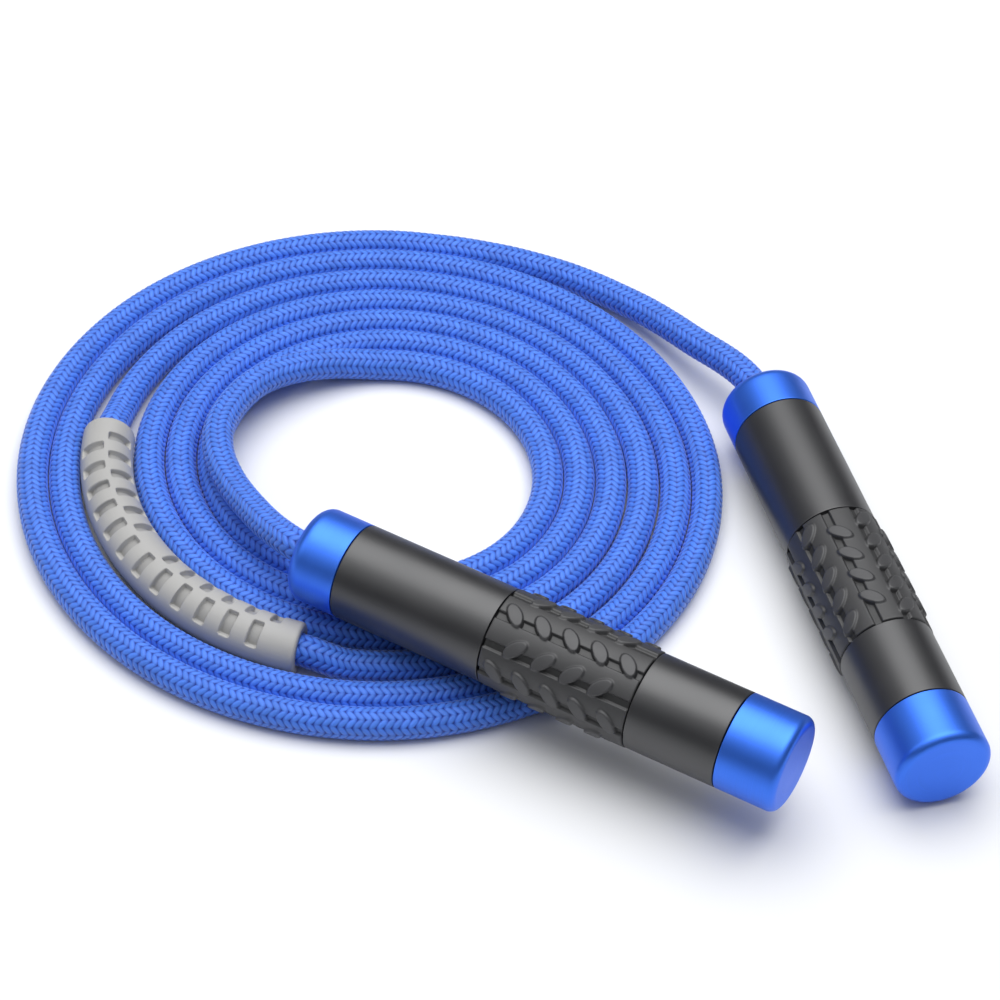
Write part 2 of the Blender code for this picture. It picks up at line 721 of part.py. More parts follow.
def retaining_ring(name, axis):
    """The split ring that holds the bearing in the front cap."""
    outer = CAP_POCKET + RING_BITE - GAP
    inner = OUTER_RACE_BORE - GAP
    top = RING_START + RING_THICKNESS
    profile = [(outer, top), (outer, RING_START), (inner, RING_START), (inner, top)]
    ring = turned(name, profile, INNER_STEPS)
    shape = bmesh.new()
    size = Matrix.Diagonal((CUTTER_REACH, RING_SPLIT, CUTTER_REACH, 1.0))
    place = Matrix.Translation(((inner + outer) / 2, 0.0, RING_START))
    bmesh.ops.create_cube(shape, size=1.0, matrix=place @ size)
    combine(ring, add_cutter(mesh_object(f"{name}_split", shape), axis))
    return ring


def spindle(name):
    """The sleeve that the rope runs through, with a flange behind the inner race."""
    nose = -GAP - COLLAR_THICKNESS - NOSE_LENGTH
    profile = [
        (FLANGE_RADIUS, FLANGE_END),
        (FLANGE_RADIUS, BEARING_END + GAP),
        (SPINDLE_RADIUS, BEARING_END + GAP),
        (SPINDLE_RADIUS, nose + SPINDLE_WALL / 3),
        (SPINDLE_RADIUS - SPINDLE_WALL / 3, nose),
        (SPINDLE_BORE, nose),
        (SPINDLE_BORE, FLANGE_END),
    ]
    return turned(name, profile, INNER_STEPS)


def exit_collar(name):
    """The bright ring screwed onto the spindle's nose, in front of the cap."""
    bore = SPINDLE_RADIUS + GAP
    edge = COLLAR_THICKNESS / 3
    back = -GAP
    front = back - COLLAR_THICKNESS
    profile = [
        (bore + COLLAR_WALL, back),
        (bore + COLLAR_WALL, front + edge),
        (bore + COLLAR_WALL - edge, front),
        (bore, front),
        (bore, back),
    ]
    return turned(name, profile, OUTER_STEPS)


def rope_stopper(name, axis):
    """The collar clamped on the rope's end, too wide to pass the bearing."""
    profile = [
        (STOPPER_RADIUS, STOPPER_END),
        (STOPPER_RADIUS, STOPPER_START),
        (SPINDLE_BORE, STOPPER_START),
        (SPINDLE_BORE, STOPPER_END),
    ]
    stopper = turned(name, profile, INNER_STEPS)
    shape = bmesh.new()
    matrix = (
        Matrix.Translation((STOPPER_RADIUS, 0.0, STOPPER_MIDDLE))
        @ Matrix.Rotation(math.radians(90.0), 4, "Y")
    )
    bmesh.ops.create_cone(
        shape, cap_ends=True, segments=12, radius1=SCREW_RADIUS + GAP,
        radius2=SCREW_RADIUS + GAP, depth=3 * STOPPER_WALL, matrix=matrix,
    )
    combine(stopper, add_cutter(mesh_object(f"{name}_hole", shape), axis))
    return stopper


def stopper_screw(name):
    """A socket set screw, whose point stands just off the rope."""
    length = STOPPER_RADIUS - ROPE_RADIUS - 2 * GAP
    floor = length - SCREW_SOCKET_DEPTH
    profile = [
        (0.0, floor),
        (SCREW_SOCKET_RADIUS, floor),
        (SCREW_SOCKET_RADIUS, length),
        (SCREW_RADIUS, length),
        (SCREW_RADIUS, 0.0),
        (0.0, 0.0),
    ]
    screw = turned(name, profile, 12, closed=False)
    screw.location = (ROPE_RADIUS + GAP, 0.0, STOPPER_MIDDLE)
    screw.rotation_euler = (0.0, math.radians(90.0), 0.0)
    return screw


def build_handle(label):
    exit_point, direction = handle_frame(label)
    _, heading, grip_roll = HANDLES[label]
    axis = bpy.data.objects.new(f"axis_{label}", None)
    axis.location = exit_point
    axis.rotation_euler = (0.0, math.radians(90.0), math.radians(heading))
    bpy.data.collections["jump_rope"].objects.link(axis)

    rear_damper_start = END_SPIGOT_START - GAP - DAMPER_LENGTH
    add_part(front_cap(f"front_cap_{label}"), "blue_anodised", axis)
    add_part(handle_tube(f"handle_tube_{label}"), "black_coat", axis)
    add_part(rubber_grip(f"rubber_grip_{label}", axis, grip_roll), "grip_rubber", axis)
    add_part(end_cap(f"end_cap_{label}"), "blue_anodised", axis)
    add_part(end_cap_o_ring(f"end_cap_o_ring_{label}"), "grip_rubber", axis)
    add_part(damper(f"front_damper_{label}", SHOULDER_END + GAP), "damper_foam", axis)
    add_part(weight_bar(f"weight_bar_{label}"), "plain_steel", axis)
    add_part(damper(f"rear_damper_{label}", rear_damper_start), "damper_foam", axis)
    add_part(outer_race(f"bearing_outer_race_{label}"), "polished_steel", axis)
    add_part(retaining_ring(f"bearing_retaining_ring_{label}", axis), "plain_steel", axis)
    add_part(bearing_cage(f"bearing_cage_{label}", axis), "cage_plastic", axis)
    for index in range(BALL_COUNT):
        add_part(ball(f"bearing_ball_{index + 1}_{label}", index), "polished_steel", axis)
    add_part(inner_race(f"bearing_inner_race_{label}"), "polished_steel", axis)
    add_part(spindle(f"spindle_{label}"), "polished_steel", axis)
    add_part(exit_collar(f"rope_exit_collar_{label}"), "polished_steel", axis)
    add_part(rope_stopper(f"rope_stopper_{label}", axis), "plain_steel", axis)
    add_part(stopper_screw(f"stopper_screw_{label}"), "plain_steel", axis)


def main():
    clear_scene()
    new_collection("jump_rope")
    new_collection("cutters")
    build_coil()
    build_rope_under_sleeve()
    build_sleeve()
    build_tail("a", COIL_TURNS, 1)
    build_tail("b", 0, -1)
    for label in HANDLES:
        build_handle(label)


main()
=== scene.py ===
"""Looks of a boxing jump rope: a thick braided rope that lies coiled on a floor, with a slotted
wear sleeve on it and two weighted handles with blue metal caps, black barrels and rubber grips.

Laid out as an add-on. Sizes and colours are properties, each group of like pieces has an operator,
and a panel in the 3D view's sidebar lists the operators. Metres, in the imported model's own frame.
"""

import json
import math

import bpy
import numpy as np
from mathutils import Matrix, Vector


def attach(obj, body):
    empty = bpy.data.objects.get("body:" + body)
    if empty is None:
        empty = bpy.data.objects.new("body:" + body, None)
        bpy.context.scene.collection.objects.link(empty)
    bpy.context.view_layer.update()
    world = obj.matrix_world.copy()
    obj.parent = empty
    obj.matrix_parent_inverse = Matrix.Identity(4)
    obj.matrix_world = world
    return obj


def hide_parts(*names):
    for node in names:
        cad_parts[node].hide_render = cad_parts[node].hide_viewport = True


bl_info = {
    "name": "Jump rope",
    "version": (1, 0, 0),
    "blender": (4, 5, 0),
    "location": "3D View > Sidebar > Jump Rope",
    "description": "Builds the surfaces and finishes of a boxing jump rope round its CAD model",
    "category": "Object",
}

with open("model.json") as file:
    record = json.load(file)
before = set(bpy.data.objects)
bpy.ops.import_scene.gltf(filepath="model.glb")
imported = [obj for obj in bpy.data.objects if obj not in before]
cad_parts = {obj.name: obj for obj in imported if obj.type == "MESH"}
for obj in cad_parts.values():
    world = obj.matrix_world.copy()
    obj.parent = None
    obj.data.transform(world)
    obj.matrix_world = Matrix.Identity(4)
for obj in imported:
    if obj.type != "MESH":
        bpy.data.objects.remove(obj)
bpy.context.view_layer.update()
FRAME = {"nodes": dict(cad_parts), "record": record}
HANDLES = ("a", "b")

# The rope's route, as the CAD has it: turns are counted inwards from the coil's outer end
GAP = 0.0003
ROPE_RADIUS = 0.0046
COIL_CENTRE = np.array((-0.07795, 0.04865, 0.0))
COIL_START = 90.0             # degrees
COIL_TURNS = 6
COIL_RADIUS = 0.10395
COIL_LEAN = (0.00197, 0.00119)
TURN_PITCH = 2 * ROPE_RADIUS + GAP
SPREAD = 0.0037               # how far the sleeve pushes the turns beside it
SPREAD_ANGLE = 223.1          # degrees
SPREAD_WIDTH = 79.2           # degrees
RISE_TURNS = 0.029            # the rope climbs into the sleeve over this part of a turn
COIL_LEAD = 0.0025
TAIL_LEAD = 0.0040
ROPE_END = 0.0207             # the rope's end inside a handle, from its front face
TAIL_ROUTES = {
    "a": (
        (-0.0090, 0.0463, 0.0056), (-0.0175, 0.0433, 0.0076), (-0.0267, 0.0382, 0.0099),
        (-0.0350, 0.0315, 0.0118), (-0.0410, 0.0237, 0.0130), (-0.0455, 0.0139, 0.0138),
        (-0.0478, 0.0033, 0.0143), (-0.0465, -0.0078, 0.0146), (-0.0426, -0.0179, 0.0152),
        (-0.0382, -0.0261, 0.0165), (-0.0339, -0.0333, 0.0183), (-0.0297, -0.0400, 0.0203),
        (-0.0254, -0.0460, 0.0223),
    ),
    "b": (
        (0.0170, 0.1046, 0.0046), (0.0261, 0.1034, 0.0046), (0.0352, 0.1017, 0.0046),
        (0.0442, 0.0992, 0.0046), (0.0531, 0.0960, 0.0047), (0.0618, 0.0914, 0.0052),
        (0.0703, 0.0852, 0.0064), (0.0787, 0.0782, 0.0079), (0.0866, 0.0700, 0.0097),
        (0.0942, 0.0609, 0.0118), (0.1025, 0.0525, 0.0134), (0.1083, 0.0453, 0.0146),
    ),
}
ROPE_JOIN = 2.355             # turn at which the rope's two halves meet, inside the sleeve

# The braid's stitches
GAP_SHALLOW = 0.42            # depth of a gap in the middle of a column, as a share of the deepest
END_FALL = 0.22               # how far a stitch falls to its ends
STITCH_ROWS = (0.0, 0.17, 0.39, 0.61, 0.83)  # rows of points over a stitch, as shares of it
MEAN_HEIGHT = 0.62            # stitch height that lies on the rope's own radius
PLAIN_END = 0.006             # the stitches fade out over this much of each end

# Wear sleeve
SLEEVE_TURNS = (2.242, 2.468)
SLEEVE_BORE = 0.0051
SLEEVE_RADIUS = 0.0078
SLOT_PLACES = 13              # along the inner row; the outer row's slots lie between them
PLAIN_PLACE = 6               # the inner row's place that has no slot
SLOT_SLOPE = (0.00022, 0.00004)  # how far a slot's wall leans into and out of its outline
SLEEVE_RIM = 0.0011           # rounding of the sleeve's ends
BORE_ROWS = 40

# Handle pieces, where the CAD node alone doesn't give the size
HANDLE_STEPS = 144            # points round a cap or a barrel
EXIT_STEPS = 96               # points round the ring and the spindle
SPIGOT_WALL = 0.0011
GRIP_ROLLS = {"a": 48.3, "b": 12.0}  # degrees round the handle to the first row of five pads
GRIP_ROWS = 10
PAD_COUNTS = (5, 4)           # pads in alternate rows
PAD_RISE = 0.0009             # over the barrel
STRIP_RISE = 0.0002           # the smooth strips between the rows, over the barrel
PAD_SLOPE = 0.00042           # width of a pad's sloping edge
GRIP_RIM = 0.0004             # rounding of the grip's ends
AXIS_HOLE = 0.00035           # radius of the flat face in the middle of a solid end
END_WALL = 0.0031             # the end cap's
END_SPIGOT_WALL = 0.0036

# Camera: where it stands, its tilt and roll in degrees, and its lens in millimetres
CAMERA_PLACE = (-0.04070, -0.66690, 0.69765)
CAMERA_TILT = 44.41
CAMERA_ROLL = 4.22
CAMERA_LENS = 119.87
CAMERA_SENSOR = 36.0


# ---------------------------------------------------------------- properties


def length_property(name, description, default):
    return bpy.props.FloatProperty(name=name, description=description, default=default,
                                   precision=5, unit="LENGTH")


def angle_property(name, description, degrees):
    return bpy.props.FloatProperty(name=name, description=description,
                                   default=math.radians(degrees), subtype="ANGLE")


def colour_property(name, description, default):
    return bpy.props.FloatVectorProperty(name=name, description=description, default=default,
                                         subtype="COLOR", size=3)


def power_property(name, description, default):
    return bpy.props.FloatProperty(name=name, description=description, default=default,
                                   unit="POWER")


class RopeLook(bpy.types.PropertyGroup):
    """The braided rope's stitches and colours, with painted shade on the stitches' flanks and in
    the gaps.
    """

    columns: bpy.props.IntProperty(
        name="Columns", description="Columns of stitches round the rope, an even number",
        default=12, min=4, max=24)
    pitch: length_property(
        "Stitch pitch", "Distance from one stitch to the next along the rope", 0.0021)
    slant: bpy.props.FloatProperty(
        name="Slant", description="How far a stitch leans along the rope, in pitches",
        default=0.75)
    relief: length_property("Relief", "Height of a stitch over the gap beside it", 0.00036)
    crest: colour_property("Stitch colour", "Yarn on top of a stitch", (0.068, 0.210, 0.80))
    # Painted shade: the flank colour is the yarn darkened on a stitch's sides, where less light
    # falls.
    flank_shade: colour_property("Flank colour", "Yarn on the side of a stitch", (0.018, 0.064, 0.42))
    # Painted shade: the gap colour is the yarn darkened deep between the stitches, where shade
    # falls.
    hollow: colour_property("Gap colour", "Yarn deep between the stitches", (0.004, 0.012, 0.11))


class SleeveLook(bpy.types.PropertyGroup):
    """The wear sleeve's slots and colour."""

    slot_width: length_property("Slot width", "A slot's size along the sleeve", 0.0034)
    slot_reach: length_property("Slot reach", "A slot's size round the sleeve", 0.0082)
    slot_depth: length_property("Slot depth", "How deep a slot is", 0.0016)
    row_angle: angle_property(
        "Row angle", "From the sleeve's top to the middle of a row of slots", 35.0)
    colour: colour_property("Colour", "The sleeve's plastic", (0.40, 0.395, 0.385))


class HandleLook(bpy.types.PropertyGroup):
    """The handles' rounded edges, grip pads and colours."""

    front_rounding: length_property("Front rounding", "Radius of the front cap's edge", 0.0040)
    end_rounding: length_property("End rounding", "Radius of the end cap's edge", 0.0025)
    seam: length_property("Seam", "Radius of the edges on both sides of a seam", 0.00025)
    pad_length: length_property("Pad length", "Length of a leaf pad on the grip", 0.0084)
    pad_width: length_property("Pad width", "Width of a leaf pad on the grip", 0.0043)
    pad_spacing: length_property("Pad spacing", "From pad to pad along a row", 0.00875)
    pad_lean: angle_property("Pad lean", "A pad's slope from the handle's circumference", 45.0)
    groove_width: length_property("Groove width", "Width of the grooves along the grip", 0.0024)
    groove_depth: length_property("Groove depth", "Depth of the grooves along the grip", 0.0009)
    groove_shift: angle_property(
        "Groove shift", "From a row of pads to its groove, round the grip", 6.0)
    cap_colour: colour_property("Cap colour", "Blue anodised metal", (0.055, 0.200, 0.88))
    barrel_colour: colour_property(
        "Barrel colour", "Black coat on the barrels", (0.013, 0.013, 0.015))
    rubber_colour: colour_property("Rubber colour", "Grips and seals", (0.026, 0.026, 0.028))


class StageLook(bpy.types.PropertyGroup):
    """Floor and lights."""

    floor_size: bpy.props.FloatProperty(
        name="Floor size", description="Side of the square floor",
        default=8.0, unit="LENGTH")
    sky: bpy.props.FloatProperty(
        name="Sky", description="Strength of the light from straight above", default=0.92)
    wall: bpy.props.FloatProperty(
        name="Wall", description="Strength of the light from the dim walls", default=0.03)
    overhead: power_property("Overhead light", "Power of the large light above and behind", 17.0)
    side: power_property("Side light", "Power of the light at the left", 2.0)


LOOKS = {
    "jump_rope_braid": RopeLook,
    "jump_rope_sleeve": SleeveLook,
    "jump_rope_handles": HandleLook,
    "jump_rope_stage": StageLook,
}


# ---------------------------------------------------------------- small sums


def smoothstep(low, high, value):
    """0 under low, 1 over high, and 3 t squared minus 2 t cubed between them."""
    t = np.clip((value - low) / (high - low), 0.0, 1.0)
    return t * t * (3 - 2 * t)


def wrapped(angle):
    """The same angle between minus pi and pi."""
    return (angle + np.pi) % (2 * np.pi) - np.pi


def unit(vectors):
    return vectors / np.linalg.norm(vectors, axis=-1, keepdims=True)


def even_angles(steps):
    return np.arange(steps) * 2 * np.pi / steps


def lengths_along(points):
    """The distance along a line of points to each of them."""
    steps = np.linalg.norm(np.diff(points, axis=0), axis=1)
    return np.concatenate([[0.0], np.cumsum(steps)])


def at_lengths(points, wanted):
    """Places at these distances along a line of points."""
    along = lengths_along(points)
    return np.stack([np.interp(wanted, along, points[:, axis]) for axis in range(3)], axis=1)


def handle_axis(label):
    """A handle's exit point and the direction from there to its butt."""
    joint = next(joint for joint in FRAME["record"]["behaviour"]["joints"]
                 if joint["name"] == f"handle_{label}_spin")
    return np.array(joint["pos_m"], float), unit(np.array(joint["axis"], float))


def handle_axes(label):
    """Rows that turn a handle's own x, y, z into the frame's: x down, z along the handle."""
    _, along = handle_axis(label)
    down = np.array((0.0, 0.0, -1.0))
    return np.stack([down, np.cross(along, down), along])


def on_handle(label, radius, station, angle):
    """Points on rings round a handle's axis: exit + r (cos angle x + sin angle y) + station z."""
    exit_point, _ = handle_axis(label)
    own = np.stack([radius * np.cos(angle), radius * np.sin(angle), station + 0 * angle], axis=-1)
    return exit_point + own.reshape(-1, 3) @ handle_axes(label)


def round_off(from_end, rim):
    """How far a rounded edge of radius rim falls at this distance from the piece's end."""
    return rim - np.sqrt(np.maximum(rim**2 - np.maximum(rim - from_end, 0.0) ** 2, 0.0))


def measured(node, label):
    """First and last station, and least and largest radius, of a turned CAD node on its axis."""
    mesh = FRAME["nodes"][f"{node}_{label}"].data
    points = np.zeros(len(mesh.vertices) * 3)
    mesh.vertices.foreach_get("co", points)
    exit_point, along = handle_axis(label)
    offset = points.reshape(-1, 3) - exit_point
    station = offset @ along
    radius = np.linalg.norm(offset - station[:, None] * along, axis=1)
    return station.min(), station.max(), radius.min(), radius.max()


# ---------------------------------------------------------------- meshes


def grid_faces(rows, columns, closed):
    """Quads of a grid that wraps across its columns, and across its rows too where closed."""
    row = np.arange(rows if closed else rows - 1)[:, None]
    column = np.arange(columns)[None, :]
    row_next = (row + 1) % rows
    column_next = (column + 1) % columns
    corners = (row * columns + column, row * columns + column_next,
               row_next * columns + column_next, row_next * columns + column)
    return np.stack([corner.reshape(-1) for corner in corners], axis=1)


def end_rims(rows, columns):
    """The rings of points that close a grid's first and last row."""
    first = np.arange(columns)
    return [first[::-1], first + (rows - 1) * columns]


def grid_uvs(u, v):
    """For each quad's corners, u across the columns and v along the rows, without a wrap.

    u has one value more than there are columns, and v one more than there are rows where the
    grid's rows are closed.
    """
    last_row = len(v) - 1
    row, column = np.meshgrid(np.arange(last_row), np.arange(len(u) - 1), indexing="ij")
    u_corner = np.stack([u[column], u[column + 1], u[column + 1], u[column]], axis=-1)
    v_corner = np.stack([v[row], v[row], v[row + 1], v[row + 1]], axis=-1)
    return np.stack([u_corner, v_corner], axis=-1).reshape(-1, 4, 2)


def signed_volume(points, quads):
    """Six times the volume inside the quads, below zero if they face inwards."""
    a, b, c, d = (points[quads[:, k]] for k in range(4))
    return (np.cross(a, b) * c).sum() + (np.cross(a, c) * d).sum()


def surface(name, points, quads, uvs=None, rims=(), relief=None):
    """A closed smooth mesh object from a grid's points and quads, and a flat face in each rim.

    uvs has two numbers for each corner of the quads. relief is a number for each point, kept as
    an attribute that the finishes read. Faces are turned to point outwards.
    """
    centred = points - points.mean(axis=0)
    if signed_volume(centred, quads) < 0:
        quads = quads[:, ::-1]
        uvs = None if uvs is None else uvs[:, ::-1]
        rims = [rim[::-1] for rim in rims]
    loops = np.concatenate([quads.reshape(-1), *rims]).astype(np.int32)
    sizes = np.array([4] * len(quads) + [len(rim) for rim in rims])
    mesh = bpy.data.meshes.new(name)
    mesh.vertices.add(len(points))
    mesh.vertices.foreach_set("co", points.astype(np.float32).reshape(-1))
    mesh.loops.add(len(loops))
    mesh.loops.foreach_set("vertex_index", loops)
    mesh.polygons.add(len(sizes))
    mesh.polygons.foreach_set("loop_start", (np.cumsum(sizes) - sizes).astype(np.int32))
    smooth = np.ones(len(sizes), bool)
    smooth[len(quads):] = False
    mesh.polygons.foreach_set("use_smooth", smooth)
    if uvs is not None:
        layer = mesh.uv_layers.new(name="UVMap")
        flat = np.zeros((len(loops), 2), np.float32)
        flat[:quads.size] = uvs.reshape(-1, 2)
        layer.uv.foreach_set("vector", flat.reshape(-1))
    if relief is not None:
        layer = mesh.attributes.new("relief", "FLOAT", "POINT")
        layer.data.foreach_set("value", relief.astype(np.float32).reshape(-1))
    mesh.update(calc_edges=True)
    mesh.validate()
    made = bpy.data.objects.new(name, mesh)
    bpy.context.scene.collection.objects.link(made)
    return made


def finished(made, body, slot, *nodes):
    """Gives a piece its slot's finish, has it ride on a body and stand for its CAD nodes."""
    made.data.materials.append(finish_of(slot))
    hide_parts(*nodes)
    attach(made, body)


def rounded(corners, steps=6):
    """A closed profile of (radius, station, rounding) corners, each turned into an arc.

    The arc of rounding r at a corner touches both sides at r / tan(half the corner's angle), and a
    point on each side a little further off keeps the long sides flat under smooth shading.
    """
    places = np.array([corner[:2] for corner in corners], float)
    line = []
    for index, (_, _, rounding) in enumerate(corners):
        place = places[index]
        before = unit(places[index - 1] - place)
        after = unit(places[(index + 1) % len(places)] - place)
        if rounding == 0:
            line.append(place)
            continue
        half = math.acos(np.clip(before @ after, -1.0, 1.0)) / 2
        reach = rounding / math.tan(half)
        middle = place + unit(before + after) * rounding / math.sin(half)
        start = place + before * reach - middle
        end = place + after * reach - middle
        share = np.linspace(0.0, 1.0, steps + 1)[:, None]
        sweep = math.pi - 2 * half
        arc = (np.sin((1 - share) * sweep) * start + np.sin(share * sweep) * end) / math.sin(sweep)
        hold = 0.35 * rounding
        line.append(place + before * (reach + hold))
        line.extend(middle + arc)
        line.append(place + after * (reach + hold))
    return np.array(line)


def turned(name, label, profile, steps):
    """A profile of (radius, station) turned round a handle's axis.

    Point (angle, k) = exit + radius[k] (cos angle x + sin angle y) + station[k] z, on the handle's
    own axes. The profile is closed, or ends on the axis at both ends and is closed with two rims.
    """
    points = on_handle(label, profile[:, :1], profile[:, 1:], even_angles(steps))
    solid = max(profile[0, 0], profile[-1, 0]) <= AXIS_HOLE
    quads = grid_faces(len(profile), steps, closed=not solid)
    along = lengths_along(np.column_stack([profile, 0 * profile[:, 0]]))
    rows = along if solid else np.append(along, along[-1] + math.dist(profile[0], profile[-1]))
    uvs = grid_uvs(np.arange(steps + 1) / steps, rows)
    rims = end_rims(len(profile), steps) if solid else []
    return surface(name, points, quads, uvs, rims)


# ---------------------------------------------------------------- the rope's route


def coil_radius(turn):
    """Radius of the rope's middle line after so many turns from the coil's outer end.

    It falls by one pitch a turn, leans as a cosine and a sine of the angle, and bulges away from
    the sleeve as a bell curve of the angle.
    """
    angle = COIL_START + 360.0 * turn
    radians = np.radians(angle)
    lean = COIL_LEAN[0] * np.cos(radians) + COIL_LEAN[1] * np.sin(radians)
    away = (angle - SPREAD_ANGLE + 180.0) % 360.0 - 180.0
    spread_turn = math.floor(SLEEVE_TURNS[0]) + (SPREAD_ANGLE - COIL_START) / 360.0
    side = np.clip(np.round(spread_turn - turn), -1, 1)
    spread = side * SPREAD * np.exp(-((away / SPREAD_WIDTH) ** 2))
    return COIL_RADIUS + lean - TURN_PITCH * turn + spread


def coil_height(turn):
    """Height of the rope's middle line: its radius, or the sleeve's where the sleeve holds it."""
    outside = np.maximum(np.maximum(SLEEVE_TURNS[0] - turn, turn - SLEEVE_TURNS[1]), 0.0)
    fallen = smoothstep(0.0, RISE_TURNS, outside)
    return SLEEVE_RADIUS + (ROPE_RADIUS - SLEEVE_RADIUS) * fallen


def coil_line(turn):
    """Places on the rope's middle line in the coil."""
    turn = np.asarray(turn, float)
    angle = np.radians(COIL_START + 360.0 * turn)
    radius = coil_radius(turn)
    flat = np.stack([radius * np.cos(angle), radius * np.sin(angle), coil_height(turn)], axis=-1)
    return COIL_CENTRE + flat


def smooth_line(route, steps=24):
    """The Catmull-Rom curve through a route's points, from its second to its last but one."""
    route = np.array(route)
    before, start, end, after = route[:-3], route[1:-2], route[2:-1], route[3:]
    t = (np.arange(steps) / steps)[:, None, None]
    line = 0.5 * (2 * start + (end - before) * t
                  + (2 * before - 5 * start + 4 * end - after) * t**2
                  + (3 * start - before - 3 * end + after) * t**3)
    return np.concatenate([line.transpose(1, 0, 2).reshape(-1, 3), route[-2:-1]])


def tail_line(label, coil_turn, onward):
    """The rope's middle line from one end of the coil to its end inside a handle."""
    exit_point, along = handle_axis(label)
    lead_turn = coil_turn + onward * COIL_LEAD / (2 * math.pi * float(coil_radius(coil_turn)))
    route = [coil_line(coil_turn), coil_line(lead_turn)]
    route += [COIL_CENTRE + np.array(point) for point in TAIL_ROUTES[label]]
    route += [exit_point - TAIL_LEAD * along, exit_point]
    inside = exit_point + np.linspace(0.0, ROPE_END, 12)[:, None] * along
    return np.concatenate([smooth_line(route), inside])


def eased(line, spacing, width):
    """The line again, evenly spaced and averaged over a bell curve of this width."""
    length = lengths_along(line)[-1]
    even = at_lengths(line, np.linspace(0.0, length, round(length / spacing) + 1))
    reach = round(3 * width / spacing)
    bell = np.exp(-0.5 * (np.arange(-reach, reach + 1) * spacing / width) ** 2)
    padded = np.concatenate([2 * even[0] - even[reach:0:-1], even,
                             2 * even[-1] - even[-2:-reach - 2:-1]])
    smooth = [np.convolve(padded[:, axis], bell / bell.sum(), "valid") for axis in range(3)]
    return np.stack(smooth, axis=1)


def rope_halves():
    """The rope's middle line in two halves, each from inside the sleeve to a handle.

    Half a runs inwards round the coil to handle a, and half b outwards to handle b.
    """
    turns = np.linspace(COIL_TURNS, 0.0, 1000 * COIL_TURNS)
    whole = np.concatenate([tail_line("a", COIL_TURNS, 1)[::-1], coil_line(turns),
                            tail_line("b", 0.0, -1)])
    whole = eased(whole, spacing=0.0005, width=0.0016)
    join = coil_line(ROPE_JOIN)
    at = int(np.argmin(np.linalg.norm(whole - join, axis=1)))
    return {"a": whole[at::-1], "b": whole[at:]}


def carried_axes(line):
    """Side and up directions along a line that lies mostly flat: side is level, up is square to
    the line and to side."""
    along = unit(np.gradient(line, axis=0))
    side = unit(np.cross(np.array((0.0, 0.0, 1.0)), along))
    return side, np.cross(along, side)


def braid_height(column, phase):
    """A stitch's height over the gaps, from 0 to 1.

    The sine of the phase along the rope gives the round back of a stitch, and the sine across
    a column its ends. The gap between two stitches is shallow in the middle of a column and deep
    where two columns meet.
    """
    end = 1 - np.abs(np.sin(np.pi * column)) ** 0.8
    gap = 1 - np.abs(np.sin(np.pi * phase)) ** 0.6
    return 1 - gap * (GAP_SHALLOW + (1 - GAP_SHALLOW) * end) - END_FALL * end * (1 - gap)


def rope_half(label, line, look):
    """A braided rope carried along its middle line.

    Point (column, row) = line(s) + r (cos a side + sin a up), where a is the column's share of a
    full circle, s is the row's station plus a zigzag of the column, so that a row follows its
    stitches, and r is the rope's radius plus the stitch's height.
    """
    length = lengths_along(line)[-1]
    count = int(length / look.pitch)
    rows = (np.arange(count)[:, None] + np.array(STITCH_ROWS)).reshape(-1) * look.pitch
    rows = np.append(rows[rows < length - look.pitch], length)
    column = np.arange(2 * look.columns) / 2
    zigzag = look.slant * (0.5 - np.abs(1 - column % 2))
    ends = smoothstep(0.0, PLAIN_END, rows) * smoothstep(0.0, PLAIN_END, length - rows)
    station = rows[:, None] + ends[:, None] * zigzag * look.pitch
    phase = rows / look.pitch
    height = braid_height(column, phase[:, None] + 0 * column) * ends[:, None]
    radius = ROPE_RADIUS + look.relief * (height - MEAN_HEIGHT)
    along = lengths_along(line)
    side, up = carried_axes(line)
    angle = 2 * np.pi * column / look.columns
    flat = station.reshape(-1)
    centre, across, above = (
        np.stack([np.interp(flat, along, part[:, axis]) for axis in range(3)], axis=1)
        .reshape(*station.shape, 3)
        for part in (line, side, up)
    )
    points = centre + radius[..., None] * (
        np.cos(angle)[:, None] * across + np.sin(angle)[:, None] * above)
    steps = len(column)
    u = np.append(column, look.columns)
    zig = np.append(zigzag, zigzag[0])
    quads = grid_faces(len(rows), steps, closed=False)
    uvs = grid_uvs(u, phase)
    row, col = np.meshgrid(np.arange(len(rows) - 1), np.arange(steps), indexing="ij")
    lean = np.stack([zig[col] * ends[row], zig[col + 1] * ends[row],
                     zig[col + 1] * ends[row + 1], zig[col] * ends[row + 1]], axis=-1)
    uvs[..., 1] += lean.reshape(-1, 4)
    rims = end_rims(len(rows), steps)
    return surface(f"rope_half_{label}", points.reshape(-1, 3), quads, uvs, rims)


# ---------------------------------------------------------------- sleeve and grips


def slot_rows():
    """The side of each row of slots and its slots' places along the sleeve, from 0 to 1."""
    inner = np.array([place + 1.0 for place in range(SLOT_PLACES) if place != PLAIN_PLACE])
    outer = np.arange(SLOT_PLACES - 1) + 1.5
    return ((-1, inner / (SLOT_PLACES + 1)), (1, outer / (SLOT_PLACES + 1)))


def sleeve_length():
    turn = np.linspace(*SLEEVE_TURNS, 64)
    return lengths_along(coil_line(turn))[-1]


